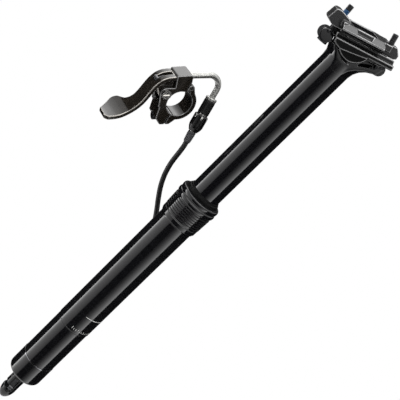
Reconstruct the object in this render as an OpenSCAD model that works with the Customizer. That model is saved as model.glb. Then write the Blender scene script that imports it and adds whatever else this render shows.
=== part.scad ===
// Dropper seatpost with its saddle clamp, bar remote and control cable.
// The post stands upright: Z runs up its axis, X to the rear of the bicycle, Y to its right.
// The origin is on the axis at the collar's lower face, where the frame's seat tube stops.
// All sizes are in millimetres and degrees.

/* [Post] */
// outside diameter of the tube that the frame grips
tube_d = 31.6; // [30.9:0.1:34.9]
// outside diameter of the tube below the insertion line, for a 31.6 tube
foot_d = 30.9; // [30:0.1:34]
// outside diameter of the sliding stanchion, for a 31.6 tube
stanchion_d = 26.5; // [25.8:0.1:26.8]
// how far the saddle drops
travel = 125; // [100:5:150]
// stanchion left showing when the post is fully down
low_show = 22; // [18:1:30]
// largest diameter of the collar, for a 31.6 tube
collar_d = 37.7; // [37:0.1:41]
// height of the collar
collar_h = 31; // [28:1:36]
// height of the end cap below the tube
cap_h = 22; // [18:1:26]
// diameter of the actuator boss under the end cap
boss_d = 13.4; // [13.2:0.1:15.8]
// length of the actuator boss
boss_h = 31.5; // [30:0.5:37]

/* [Saddle clamp] */
// diameter of the saddle rails
rail_d = 7; // [6.5:0.1:7.4]
// distance between the two rails
rail_gauge = 44; // [42:0.5:46]
// how far the rails rise to the rear when the saddle is level
rail_rise = 16.5; // [12:0.5:18]
// thread of the two clamp bolts
bolt_d = 5; // [4.5:0.1:5.4]
// most that the saddle tilts either way
tilt_most = 3.5; // [2:0.5:4]

/* [Remote] */
// handlebar diameter
bar_d = 22.2; // [21.8:0.1:22.6]
// width of the bar clamp along the bar
band_w = 16; // [14:0.5:18]
// how far the lever turns
lever_swing = 18; // [10:1:18]
// distance from the lever's pivot to the pull wire
wire_arm = 12; // [11:0.1:12.4]
// thickness of the lever's blade
blade_t = 3.4; // [2.8:0.1:3.8]
// outside diameter of the bent guide tube
noodle_d = 5; // [4.6:0.1:5.2]
// bend radius of the guide tube
noodle_bend = 9; // [8:0.5:10]

/* [Cable] */
// outside diameter of the cable housing
cable_d = 4.4; // [4:0.1:4.5]
// whole loops in the tied hank
hank_loops = 5; // [3:1:5]
// straight part of each run of the hank
hank_run = 70; // [60:2:76]
// bend radius at the hank's folds
fold_r = 13.2; // [12.4:0.1:13.6]

/* [Hidden] */
$fn = 64;
// running clearance of a sliding or turning fit, on the radius
run_gap = 0.05;
// clearance between pieces that move past each other
free_gap = 0.3;

// Post, from the foot up
foot_z = -(travel + 51);
tube_top = 18;
cap_z = foot_z - cap_h;
line_z = foot_z + 47;
head_z = collar_h + travel + low_show;
// the diameters given for a 31.6 tube grow and shrink with the tube itself
tube_more = tube_d - 31.6;
foot_r = (foot_d + tube_more)/2;
slide_r = (stanchion_d + tube_more)/2;
collar_r = (collar_d + tube_more)/2;
wall_t = 1.5;
bore_r = tube_d/2 - wall_t;
collar_seat_r = tube_d/2 - 0.3;
slide_bore_r = slide_r - 2;
slide_foot = -38;
// room round the gas spring's tube, and that tube's wall
cart_gap = 1.75;
cart_wall = 1.25;
cart_r = slide_bore_r - cart_gap;
cart_bore_r = cart_r - cart_wall;
rod_r = 5;
pin_r = 1.1;
key_w = 2.8;
key_r = bore_r + 0.3;

// Saddle clamp: rail centres lie in a plane that passes the axis at rail_z
rail_z = head_z + 24.5;
tilt_x = -2.6;
tilt_z = rail_z - 3.7;
seat_r = 13;
front_bolt_x = -22.6;
front_bolt_z = rail_z + 1;
front_lean = -4.5;
rear_bolt_x = 19.2;
rear_bolt_z = rail_z + 9.4;
rear_lean = -16.8;
front_seat = 17.6;
rear_seat = 16.6;
washer_t = 1.2;
nut_r = 3.8;
// sideways play of each nut in its pocket, used up as the clamp tilts
nut_play = 25.4*sin(tilt_most)*sin(18) + 0.05;
wing_out = rail_gauge/2 + 3.5;
wing_in = rail_gauge/2 - 5;

// Remote, placed beside the post; its own Y runs along the handlebar
remote_at = [-79.5, 29, 65.5];
remote_turn = [-4.5, -33, 34];
ring_x = 13.5;
ring_z = -9.5;
ring_r = bar_d/2 + 2.9;
seam_turn = 239;
hinge_x = 21.6;
hinge_z = 4;
ear_out = band_w/2;
ear_in = 5.1;
strap_bolt_z = -24.4;
noodle_x = 21;
noodle_out = 18.3;
noodle_turn = 115;
noodle_roll = -10;
noodle_end = 10;
noodle_r = noodle_d/2;
wire_r = 0.55;

// Actuator under the end cap: the wire pulls the crank and the crank lifts the valve pin
crank_arm = 9;
crank_leg = 2.2;
crank_swing = lever_swing*wire_arm/crank_arm;
crank_z = cap_z - 8;
barrel_r = 1.3;
wire_z = crank_z - crank_arm*cos(crank_swing/2);
barrel_y = -crank_leg - crank_arm*sin(crank_swing/2);
stop_y = 10.5;
ferrule_l = 8;

// Cable route: chosen points below the boot, the hank's loops, then points to the actuator.
// The last points are measured from the end cap, which moves with the travel.
hank_turn = -12;
hank_y = 24;
hank_z = cap_z + 80;
hank_pitch = cable_d + 0.6;
hank_pinch = 3.5;
lead_in = [
    [-31.9, 42, 32.4],
    [-30.7, 40.7, 21],
    [-28, 39.2, 10.5],
    [-23.8, 38, 1],
    [-18.2, 37, -8],
    [-12.2, 36, -16.5],
    [-7.6, 34.8, -23.5],
    [-3.4, 32.6, -31],
    [1.3, 29.2, -40],
    [7, 25.2, -50],
    [12.3, 22.2, -60],
    [16.1, 20.9, -71],
];
lead_out = [
    [22.6, 45.6, 34],
    [20, 44.8, 22.5],
    [15.6, 42.2, 11],
    [10.4, 37.8, 0.5],
    [5.4, 31.8, -8],
    [1.8, 25.4, -13.4],
];

black = [0.08, 0.08, 0.09];
grey = [0.35, 0.34, 0.33];
silver = [0.78, 0.78, 0.76];
brass = [0.72, 0.58, 0.28];
rubber = [0.05, 0.05, 0.05];

// A ring about Z between two heights
module ring(outer, inner, low, high) {
    translate([0, 0, low])
        difference() {
            cylinder(r = outer, h = high - low);
            translate([0, 0, -1]) cylinder(r = inner, h = high - low + 2);
        }
}

// A rod along Y, centred on the X-Z plane
module cross_rod(r, l) {
    rotate([90, 0, 0]) cylinder(r = r, h = l, center = true);
}

// A flat X-Z outline given thickness along Y
module plate(low, high) {
    translate([0, high, 0]) rotate([90, 0, 0]) linear_extrude(high - low) children();
}

// The clamp's own frame: X along the rails, Z away from the post
module in_clamp() {
    translate([0, 0, rail_z]) rotate([0, -rail_rise, 0]) children();
}

// A bolt's own frame, at the centre of its nut
module at_front_bolt() {
    translate([front_bolt_x, 0, front_bolt_z]) rotate([0, front_lean, 0]) children();
}

module at_rear_bolt() {
    translate([rear_bolt_x, 0, rear_bolt_z]) rotate([0, rear_lean, 0]) children();
}

module at_bolt(rear) {
    if (rear == 1) at_rear_bolt() children();
    else at_front_bolt() children();
}

module in_remote() {
    translate(remote_at) rotate(remote_turn) children();
}

// The guide tube's second run, as a frame whose -Z is the way that the cable leaves
module on_connector() {
    in_remote()
        translate([noodle_x, 0, wire_arm])
            rotate([noodle_roll, 0, 0])
                translate([noodle_out, 0, -noodle_bend])
                    rotate([0, noodle_turn - 90, 0])
                        translate([noodle_bend, 0, -noodle_end])
                            children();
}

// Post
module outer_tube() {
    color(black)
        difference() {
            union() {
                translate([0, 0, foot_z]) cylinder(r = foot_r, h = line_z - foot_z + 1);
                translate([0, 0, line_z]) cylinder(d = tube_d, h = -line_z);
                translate([0, 0, -1]) cylinder(r = collar_seat_r, h = tube_top + 1);
            }
            translate([0, 0, foot_z - 1]) cylinder(r = bore_r, h = tube_top - foot_z + 2);
            for (a = [60, 180, 300])
                rotate([0, 0, a])
                    translate([bore_r - 1, -key_w/2 - run_gap, foot_z + 4])
                        cube([key_r - bore_r + 1 + run_gap, key_w + 2*run_gap, -foot_z - 8]);
        }
}

module end_cap() {
    cap_r = tube_d/2 - 0.1;
    soft = 3.5;
    color(black)
        difference() {
            union() {
                rotate_extrude()
                    union() {
                        translate([0, cap_z]) square([cap_r - soft, cap_h - 0.8]);
                        translate([0, cap_z + soft]) square([cap_r, cap_h - soft - 0.8]);
                        translate([cap_r - soft, cap_z + soft]) circle(r = soft);
                    }
                translate([0, 0, foot_z - 2]) cylinder(r = bore_r - 0.05, h = 10);
            }
            translate([0, 0, cap_z - 1]) cylinder(r = rod_r, h = cap_h + 12);
            translate([0, 0, cap_z - 1]) cylinder(r = 9, h = 5);
        }
}

module cap_ring() {
    color(silver) ring(tube_d/2, bore_r - 0.05, foot_z - 0.8, foot_z);
}

// The collar swells upwards, with fine ribs, a groove and two beads
module collar() {
    r_top = collar_r;
    r_low = tube_d/2 + 1.4;
    groove_z = collar_h - 11.5;
    ribs = 6;
    rib_low = 6.5;
    rib_step = (groove_z - rib_low)/ribs;
    rib_r = r_low + 0.35;
    rib_grow = (r_top - r_low - 1.1)/ribs;
    color(black)
        rotate_extrude()
            polygon([
                [collar_seat_r, 0],
                [r_low - 0.5, 0],
                [r_low, 0.5],
                [rib_r, rib_low - 0.8],
                for (i = [0:ribs - 1], k = [0, 1, 2, 3])
                    [
                        rib_r + rib_grow*(i + k/4) + (k == 1 || k == 2 ? 0.45 : 0),
                        rib_low + rib_step*(i + k/4),
                    ],
                [r_top - 1.2, groove_z],
                [r_top - 1.2, groove_z + 1.2],
                for (a = [-80:20:80]) [r_top - 1 + cos(a), groove_z + 3.4 + 2.2*sin(a)],
                for (a = [-70:20:90]) [r_top - 1.4 + 1.2*cos(a), groove_z + 8 + 2*sin(a)],
                [slide_r + 2.3, collar_h - 1],
                [slide_r + 2.3, tube_top + 0.4],
                [collar_seat_r, tube_top + 0.4],
            ]);
}

module wiper_seal() {
    color(rubber)
        rotate_extrude()
            polygon([
                [slide_r + run_gap, tube_top + 1],
                [slide_r + 2.2, tube_top + 1],
                [slide_r + 2.2, collar_h - 0.6],
                [slide_r + 1.9, collar_h + 1.2],
                [slide_r + 0.7, collar_h + 3],
                [slide_r + run_gap, collar_h + 3],
            ]);
}

module upper_bushing() {
    color(brass) ring(bore_r, slide_r + run_gap, 1, tube_top - 1);
}

module top_out_bumper() {
    color(rubber) ring(bore_r, slide_r + free_gap, -5, 0.8);
}

module bottom_bumper() {
    color(rubber) ring(slide_r, slide_bore_r - 1, foot_z + 8, foot_z + 11.5);
}

// Gas spring: the rod stands on the end cap and the tube hangs in the stanchion
module cartridge_rod() {
    color(silver)
        difference() {
            translate([0, 0, cap_z + 4]) cylinder(r = rod_r, h = slide_foot + 18 - cap_z - 4);
            translate([0, 0, cap_z]) cylinder(r = pin_r + run_gap, h = slide_foot - cap_z);
        }
}

module rod_piston() {
    color(silver)
        translate([0, 0, slide_foot + 18])
            difference() {
                cylinder(r = cart_bore_r - run_gap, h = 9);
                translate([0, 0, 3.4])
                    rotate_extrude() translate([cart_bore_r - 1.1, 0]) square([2, 2.2]);
            }
}

module rod_nut() {
    color(silver)
        translate([0, 0, foot_z + 8.2])
            difference() {
                cylinder(r = 8.6, h = 5, $fn = 6);
                translate([0, 0, -1]) cylinder(r = rod_r, h = 7);
            }
}

// Boss with a slot for the crank, a stop for the housing and a side door to unhook the wire
module actuator_housing() {
    r = boss_d/2;
    tip = boss_h - 18;
    color(black)
        difference() {
            union() {
                translate([0, 0, cap_z - 18]) cylinder(r = r, h = 18);
                translate([0, 0, cap_z - 18])
                    rotate_extrude()
                        polygon([
                            [0, 0],
                            for (a = [0:10:90]) [r*cos(a), -tip*sin(a)],
                        ]);
                translate([0, 0, cap_z - 1]) cylinder(r = 8.9, h = 4.8);
                translate([-4.4, 3, wire_z - 4]) cube([8.8, stop_y - 3, 8]);
            }
            translate([-2.3, -10, wire_z - 3.6]) cube([4.6, 20, 15.8]);
            translate([-10, barrel_y - 2, wire_z - 2]) cube([10, crank_arm*sin(crank_swing/2)*2 + 4, 4]);
            translate([-10, -10, wire_z - 1.9]) cube([11.9, 30, 3.8]);
            translate([0, -crank_leg, crank_z])
                rotate([0, 90, 0]) cylinder(r = 1, h = 30, center = true);
            translate([0, 0, cap_z - 10]) cylinder(r = pin_r + free_gap, h = 20);
            translate([3, -2.5, wire_z - 2.2]) cube([10, 5, 9]);
        }
}

// Bell crank, drawn at rest: its hook hangs in front of the pivot and its finger lies under the pin
module crank() {
    color(silver)
        translate([0, -crank_leg, crank_z])
            rotate([-crank_swing/2, 0, 0])
                difference() {
                    rotate([90, 0, 90])
                        linear_extrude(4, center = true)
                            union() {
                                circle(r = 1.9);
                                translate([-1.3, -crank_arm]) square([2.6, crank_arm]);
                                translate([0, -crank_arm]) circle(r = 2.5);
                                translate([0, -1.2]) square([crank_leg + 1.4, 2.4]);
                            }
                    rotate([0, 90, 0]) cylinder(r = 1 + run_gap, h = 20, center = true);
                    translate([0, 0, -crank_arm])
                        rotate([0, 90, 0]) cylinder(r = barrel_r + free_gap, h = 20, center = true);
                    translate([-5, 0, -crank_arm - 1.4]) cube([10, 6, 2.8]);
                }
}

module crank_pin() {
    chord = 2*sqrt(boss_d*boss_d/4 - crank_leg*crank_leg) - 0.6;
    color(silver)
        translate([0, -crank_leg, crank_z])
            rotate([0, 90, 0]) cylinder(r = 1, h = chord, center = true);
}

module valve_pin() {
    rest = crank_z - crank_leg*sin(crank_swing/2) + 1.2/cos(crank_swing/2) + 0.2;
    color(silver) {
        translate([0, 0, rest + pin_r]) sphere(r = pin_r);
        translate([0, 0, rest + pin_r]) cylinder(r = pin_r, h = slide_foot - 4 - rest - pin_r);
    }
}

// Sliding upper part
module stanchion() {
    color(black)
        difference() {
            ring(slide_r, slide_bore_r, slide_foot, head_z - 6);
            for (a = [60, 180, 300])
                rotate([0, 0, a])
                    translate([slide_r - 0.6, -key_w/2, slide_foot + 22]) cube([5, key_w, 10]);
        }
}

module lower_bushing() {
    color(brass) ring(bore_r - run_gap, slide_r, slide_foot + 1, slide_foot + 21);
}

module guide_keys() {
    color(brass)
        for (a = [60, 180, 300])
            rotate([0, 0, a])
                intersection() {
                    translate([slide_r - 0.6, -key_w/2, slide_foot + 22]) cube([5, key_w, 10]);
                    translate([0, 0, slide_foot + 20]) cylinder(r = key_r, h = 20);
                }
}

module cartridge_tube() {
    color(silver) ring(cart_r, cart_bore_r, slide_foot + 8, head_z - 32);
}

module cartridge_gland() {
    color(silver)
        union() {
            ring(slide_bore_r, rod_r + run_gap, slide_foot + 1, slide_foot + 8);
            ring(cart_bore_r, rod_r + run_gap, slide_foot + 7.9, slide_foot + 13);
        }
}

module cartridge_cap() {
    color(silver) {
        translate([0, 0, head_z - 32]) cylinder(r = slide_bore_r, h = 8);
        translate([0, 0, head_z - 24.1]) cylinder(r = 4, h = 18);
    }
}

// The floating piston keeps gas from oil. It rises by the rod's share of the bore as the post drops.
module floating_piston() {
    color(silver)
        translate([0, 0, slide_foot + 31 + travel*(1 - pow(rod_r/cart_bore_r, 2))])
            cylinder(r = cart_bore_r - run_gap, h = 6);
}

// Forged head: neck, trough for the cradle, two ears for the bolts and a hollow on each side
module seat_head() {
    neck = head_z - 6;
    half_w = 12.2;
    // the neck flares to this radius, under the bolts
    flare_r = 24.25;
    flare = 2*(flare_r - slide_r);
    color(black)
        difference() {
            union() {
                translate([0, 0, neck]) cylinder(r = slide_r, h = 12);
                translate([0, 0, neck - 8]) cylinder(r = slide_bore_r, h = 9);
                intersection() {
                    plate(-half_w, half_w)
                        polygon([
                            [-slide_r, neck + 1],
                            [-slide_r - 0.2, neck + 8.5],
                            [-slide_r - 1.8, neck + 10.6],
                            [-22, neck + 11.5],
                            [-24, neck + 20],
                            [-20, rail_z - 10.5 - 20*tan(rail_rise)],
                            [22, rail_z - 10.5 + 22*tan(rail_rise)],
                            [26, neck + 29],
                            [24, neck + 21.5],
                            for (a = [75:-15:0]) [slide_r + 16 - 16*cos(a), neck + 2 + 16*sin(a)],
                            [slide_r, neck + 1],
                        ]);
                    rotate_extrude()
                        polygon([
                            [0, neck],
                            [slide_r, neck],
                            for (a = [0:15:60]) [slide_r + flare*(1 - cos(a)), neck + 4 + 18*sin(a)],
                            [40, neck + 24],
                            [40, neck + 50],
                            [0, neck + 50],
                        ]);
                }
                translate([-22.9, 0, neck + 16]) cross_rod(5.6, 17);
                at_rear_bolt() translate([0, 0, -15.6]) cross_rod(5.2, 16);
            }
            translate([tilt_x, 0, tilt_z]) cross_rod(seat_r + free_gap, 60);
            for (s = [-1, 1])
                plate(s > 0 ? 4 : -30, s > 0 ? 30 : -4)
                    polygon([
                        [8.2, neck + 15.6],
                        [20.5, neck + 24],
                        [19, neck + 25.6],
                        [12, neck + 23.4],
                    ]);
            at_front_bolt() cylinder(d = bolt_d + 0.6, h = 60, center = true);
            at_rear_bolt() cylinder(d = bolt_d + 0.6, h = 60, center = true);
            at_front_bolt() translate([0, 0, -40 - front_seat]) cylinder(r = 4.6, h = 40);
            at_rear_bolt() translate([0, 0, -40 - rear_seat]) cylinder(r = 4.6, h = 40);
            translate([0, 0, head_z - 40]) cylinder(r = 4, h = 34.5);
        }
}

// One clamp bolt about its nut's centre: thread up, low socket head under the washer
module clamp_bolt(seat, above) {
    under = seat + washer_t;
    difference() {
        union() {
            translate([0, 0, -under - 1]) cylinder(d = bolt_d, h = under + above + 0.5);
            translate([0, 0, above - 0.6]) cylinder(d = bolt_d - 0.9, h = 0.6);
            translate([0, 0, -under - 3]) cylinder(r = 4.2, h = 3);
        }
        translate([0, 0, -under - 4]) cylinder(r = 2.3, h = 2.8, $fn = 6);
    }
}

module clamp_bolts() {
    color(black) {
        at_front_bolt() clamp_bolt(front_seat, 12.3);
        at_rear_bolt() clamp_bolt(rear_seat, 12.3);
    }
}

module clamp_washers() {
    color(silver) {
        at_front_bolt() ring(4.5, bolt_d/2, -front_seat - washer_t, -front_seat);
        at_rear_bolt() ring(4.5, bolt_d/2, -rear_seat - washer_t, -rear_seat);
    }
}

// Lower cradle: a rocker that sits in the head's trough and carries a grooved wing under each rail
module lower_cradle() {
    color(black)
        difference() {
            union() {
                intersection() {
                    translate([tilt_x, 0, tilt_z]) cross_rod(seat_r, 2*wing_in - 1);
                    in_clamp() translate([-17, -wing_out, -30]) cube([27, 2*wing_out, 26.4]);
                }
                in_clamp()
                    for (s = [-1, 1])
                        translate([-21.6, 0, 0])
                            rotate([90, 0, 90])
                                linear_extrude(47.6)
                                    polygon([
                                        [s*(wing_in - 2), -3.4],
                                        [s*(wing_in - 2), -7],
                                        [s*(wing_out - 1.2), -7],
                                        [s*wing_out, -6],
                                        [s*wing_out, -3.2],
                                        [s*(wing_in + 1.5), -0.1],
                                        [s*wing_in, -0.1],
                                    ]);
                in_clamp()
                    for (s = [-1, 1])
                        plate(s > 0 ? wing_out - 5 : -wing_out, s > 0 ? wing_out : 5 - wing_out)
                            polygon([
                                [-21.6, -3.8],
                                [-21.2, -5.7],
                                [-19.8, -7.6],
                                [-15.2, -9.4],
                                [-6, -8.6],
                                [6, -7.2],
                                [6, -3.8],
                            ]);
                in_clamp() translate([-12, -wing_in, -7]) cube([22, 2*wing_in, 3.6]);
            }
            in_clamp()
                for (s = [-1, 1])
                    translate([0, s*rail_gauge/2, 0])
                        rotate([0, 90, 0]) cylinder(d = rail_d, h = 90, center = true);
        }
}

// Upper clamp: two wings over the rails, joined by a block at each bolt
module upper_clamp() {
    color(black)
        difference() {
            union() {
                in_clamp()
                    for (s = [-1, 1])
                        translate([-20.5, 0, 0])
                            rotate([90, 0, 90])
                                linear_extrude(34.5)
                                    polygon([
                                        [s*(wing_in - 0.5), 1.2],
                                        [s*(wing_in + 1.5), 1.2],
                                        [s*(wing_out - 0.3), 3.4],
                                        [s*(wing_out - 0.3), 4.6],
                                        [s*(wing_in + 3), 8.4],
                                        [s*(wing_in - 0.5), 8.4],
                                    ]);
                in_clamp() translate([-20.5, -wing_in, 4]) cube([8, 2*wing_in, 4.4]);
                in_clamp() translate([8, -wing_in, 3.4]) cube([12, 2*wing_in, 5]);
                in_clamp()
                    plate(-9.5, 9.5)
                        polygon([
                            [-24.2, 1.3],
                            [-26.9, 1.7],
                            [-30.8, 4],
                            [-31.6, 5.6],
                            [-28.6, 13],
                            [-27.2, 13.8],
                            [-24.2, 13.7],
                            [-16.4, 10.6],
                            [-14, 8.4],
                            [-14, 4],
                            [-17.4, 1.3],
                        ]);
                in_clamp()
                    plate(-9, 9)
                        polygon([
                            [15, 8.4],
                            [25.4, 8.2],
                            [28.9, 3.2],
                            [28.4, 0.4],
                            [26, -0.8],
                            [17.2, -0.8],
                            [15, 3],
                        ]);
            }
            in_clamp()
                for (s = [-1, 1])
                    translate([0, s*rail_gauge/2, 0])
                        rotate([0, 90, 0]) cylinder(d = rail_d, h = 90, center = true);
            in_clamp()
                for (s = [-1, 1])
                    plate(s > 0 ? wing_in + 2 : -40, s > 0 ? 40 : -wing_in - 2) {
                        polygon([[-11.4, 10], [-8.4, 5], [3, 5], [4.6, 10]]);
                        polygon([[-22, 5.6], [-14.6, 9], [-22, 12]]);
                        polygon([[15, 5.6], [10.6, 9], [15, 12]]);
                    }
            for (turn = [0, 1]) {
                at_bolt(turn) cylinder(d = bolt_d + 2.6, h = 60, center = true);
                at_bolt(turn)
                    for (x = [-nut_play, nut_play])
                        translate([x, 6, 0]) cross_rod(nut_r + free_gap, 25);
            }
        }
}

// Barrel nut that rides along its bolt inside the clamp's block
module barrel_nut() {
    difference() {
        translate([0, 1, 0]) cross_rod(nut_r, 14);
        cylinder(d = bolt_d + 2*run_gap, h = 20, center = true);
    }
}

module front_nut() {
    color(silver) at_front_bolt() barrel_nut();
}

module rear_nut() {
    color(silver) at_rear_bolt() barrel_nut();
}

// Remote: bracket with the socket for the guide tube, two ears for the lever and half of the bar clamp
module remote_bracket() {
    color(black)
        in_remote()
            difference() {
                union() {
                    plate(-8, 8)
                        polygon([
                            [7.2, 3],
                            [7.2, 14.8],
                            [8, 15.8],
                            [19.6, 16.4],
                            [21, 15.2],
                            [21, 9.4],
                            [18.6, 6.4],
                            [17.6, 1],
                            [9, 1],
                        ]);
                    plate(-band_w/2, band_w/2)
                        difference() {
                            translate([ring_x, ring_z]) circle(r = ring_r);
                            translate([ring_x, ring_z])
                                polygon([
                                    [0, 0],
                                    [40*cos(seam_turn), 40*sin(seam_turn)],
                                    [10, -60],
                                    [60, -20],
                                    [40*cos(56), 40*sin(56)],
                                ]);
                        }
                    for (s = [-1, 1])
                        plate(s > 0 ? ear_in : -ear_out, s > 0 ? ear_out : -ear_in)
                            union() {
                                circle(r = 5);
                                polygon([
                                    [0, 5],
                                    [9, 5],
                                    [9, -4],
                                    [3.2, -6],
                                    [1, -9],
                                    [-4.6, -12],
                                    [-4.4, -8],
                                    [-5, 0],
                                ]);
                            }
                    plate(-band_w/2, band_w/2)
                        polygon([
                            [-3, -8.4],
                            [-3.9, -15.5],
                            [-4.8, -22.4],
                            [-0.6, -28.6],
                            [3.4, -28.6],
                            [4.6, -24.4],
                            [6, -20.8],
                            [0, -11],
                            [-2.4, -8.4],
                        ]);
                    translate([hinge_x, 0, hinge_z]) cross_rod(2.9, 5.6);
                    plate(-2.8, 2.8)
                        polygon([[17, 2], [17, 9], [21, 9.4], [hinge_x + 1, hinge_z + 2.2]]);
                }
                translate([ring_x, 0, ring_z]) cross_rod(bar_d/2, 60);
                plate(-ear_in, ear_in)
                    union() {
                        circle(r = 6.4);
                        polygon([[-12, 2], [-6, -3], [6.4, 0], [6.9, 20], [-12, 20]]);
                    }
                cross_rod(2.5, 40);
                translate([noodle_x - 10, 0, wire_arm]) rotate([0, 90, 0]) cylinder(r = noodle_r, h = 20);
                translate([0, 0, wire_arm]) rotate([0, 90, 0]) cylinder(r = wire_r + free_gap, h = 20);
                translate([hinge_x, 0, hinge_z]) cross_rod(1.2, 30);
                for (s = [-1, 1])
                    translate([hinge_x, s*(band_w/4 + 1.5), hinge_z]) cross_rod(3.3, band_w/2 - 2.8);
                translate([-20, 0, strap_bolt_z]) rotate([0, 90, 0]) cylinder(r = 2, h = 30);
                translate([-20, 0, strap_bolt_z]) rotate([0, 90, 0]) cylinder(r = 3.7, h = 18.6);
            }
}

// Hinged half of the bar clamp
module bar_strap() {
    color(black)
        in_remote()
            difference() {
                union() {
                    plate(-band_w/2, band_w/2)
                        intersection() {
                            translate([ring_x, ring_z]) circle(r = ring_r + 1);
                            translate([ring_x, ring_z])
                                polygon([
                                    [0, 0],
                                    [40*cos(seam_turn + 3), 40*sin(seam_turn + 3)],
                                    [10, -60],
                                    [60, -20],
                                    [40*cos(53), 40*sin(53)],
                                ]);
                        }
                    plate(-band_w/2, band_w/2)
                        polygon([
                            [5.4, -24.4],
                            [4.2, -28.6],
                            [7.6, -28.6],
                            [14, -23.2],
                            [12, -20],
                            [6.8, -20.8],
                        ]);
                    for (s = [-1, 1])
                        translate([hinge_x, s*(band_w/4 + 1.5), hinge_z]) cross_rod(2.9, band_w/2 - 3);
                    for (s = [-1, 1])
                        plate(s > 0 ? 3 : -band_w/2, s > 0 ? band_w/2 : -3)
                            polygon([
                                [hinge_x, hinge_z + 2.9],
                                [hinge_x + 2.9, hinge_z],
                                [26.6, -4],
                                [22, -1],
                            ]);
                }
                translate([ring_x, 0, ring_z]) cross_rod(bar_d/2, 60);
                translate([hinge_x, 0, hinge_z]) cross_rod(1.2, 30);
                translate([hinge_x, 0, hinge_z]) cross_rod(3.3, 5.9);
                translate([-20, 0, strap_bolt_z]) rotate([0, 90, 0]) cylinder(r = 2, h = 32);
            }
}

module strap_pin() {
    color(silver) in_remote() translate([hinge_x, 0, hinge_z]) cross_rod(1.2, band_w);
}

module strap_bolt() {
    color(silver)
        in_remote()
            translate([-1.4, 0, strap_bolt_z])
                rotate([0, 90, 0])
                    difference() {
                        union() {
                            cylinder(r = 2, h = 12.4);
                            translate([0, 0, -3.4]) cylinder(r = 3.4, h = 3.4);
                        }
                        translate([0, 0, -4]) cylinder(r = 1.8, h = 2.8, $fn = 6);
                    }
}

module pivot_screw() {
    color(silver)
        in_remote()
            difference() {
                union() {
                    cross_rod(2.5, 2*ear_out);
                    translate([0, -ear_out - 0.9, 0]) cross_rod(4.1, 1.8);
                }
                translate([0, -ear_out - 2, 0]) cube([6, 2, 1.2], center = true);
            }
}

module pivot_nut() {
    color(silver)
        in_remote()
            translate([0, ear_out + 1.2, 0])
                rotate([90, 0, 0]) cylinder(r = 4, h = 2.4, center = true, $fn = 6);
}

// The lever's blade: an S from the bracket down to the thumb paddle
blade_line = [
    [6.7, 14.8], [3, 14.6], [-1.5, 13.8], [-6, 11.6], [-10, 7.8], [-13.4, 3], [-16.4, -2],
    [-19.6, -6.8], [-23.6, -11], [-28.4, -14.6], [-33.6, -17.2], [-39, -18.8], [-44.4, -19.4],
    [-49, -19.2],
];
// The unit normal that points to the blade's lower face
function blade_normal(i) =
    let (a = blade_line[max(i - 1, 0)], b = blade_line[min(i + 1, len(blade_line) - 1)], d = a - b)
    [d[1], -d[0]]/norm(d);

module lever() {
    last = len(blade_line) - 1;
    color(grey)
        in_remote()
            difference() {
                union() {
                    intersection() {
                        plate(-8, 24)
                            polygon(concat(
                                blade_line,
                                [for (i = [last:-1:0]) blade_line[i] + blade_t*blade_normal(i)]
                            ));
                        translate([0, 0, -40])
                            linear_extrude(80)
                                polygon([
                                    [8, -7.5],
                                    [-30, -7.2],
                                    [-36, -7.6],
                                    [-45, -7.2],
                                    [-48, -5],
                                    [-47.4, 7.4],
                                    for (a = [130:-20:10]) [-33.4 + 4.4*cos(a), 15.2 + 4.4*sin(a)],
                                    [-26.6, 11],
                                    [-21, 7.6],
                                    [8, 7.5],
                                ]);
                    }
                    plate(-ear_in + free_gap, ear_in - free_gap)
                        union() {
                            circle(r = 5.4);
                            polygon([
                                [-5, -2],
                                [-10.5, 6.2],
                                [-6, 10.2],
                                [6.5, 12.4],
                                [6.3, 4],
                                [4.6, -2],
                            ]);
                        }
                }
                cross_rod(3.4, 40);
                translate([-8.2, -1.4, wire_arm - 2.6]) cube([30, 2.8, 12]);
                rotate([0, -36, 0]) translate([0, 0, wire_arm]) cross_rod(2.3, 6.4);
                rotate([0, -36, 0]) translate([-2.3, -3.2, wire_arm]) cube([4.6, 6.4, 8]);
            }
}

module lever_bush() {
    color(brass)
        in_remote()
            rotate([90, 0, 0])
                translate([0, 0, -ear_in + free_gap])
                    difference() {
                        cylinder(r = 3.4, h = 2*(ear_in - free_gap));
                        translate([0, 0, -1]) cylinder(r = 2.5 + run_gap, h = 20);
                    }
}

// The wire's head in the lever, with the stretch of wire that lies round the hub
module lever_nipple() {
    color(silver)
        in_remote()
            union() {
                rotate([0, -36, 0]) translate([0, 0, wire_arm]) cross_rod(2.1, 6);
                rotate([90, 0, 0])
                    rotate([0, 0, 92])
                        rotate_extrude(angle = 34)
                            translate([wire_arm, 0]) circle(r = wire_r, $fn = 24);
            }
}

module pull_wire() {
    color(silver)
        in_remote()
            translate([4.5, 0, wire_arm])
                rotate([0, 90, 0]) cylinder(r = wire_r, h = noodle_x + noodle_out - 10.5);
}

// Bent guide tube: a straight run, a bend and a second run
module noodle_frame() {
    in_remote() translate([noodle_x, 0, wire_arm]) rotate([noodle_roll, 0, 0]) children();
}

// A rod bent round the guide tube's corner, running past each end of the bend by an angle
module noodle_corner(r, past) {
    translate([noodle_out, 0, -noodle_bend])
        rotate([90, 0, 0])
            rotate([0, 0, 90 - noodle_turn - past])
                rotate_extrude(angle = noodle_turn + 2*past) translate([noodle_bend, 0]) circle(r = r);
}

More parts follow.
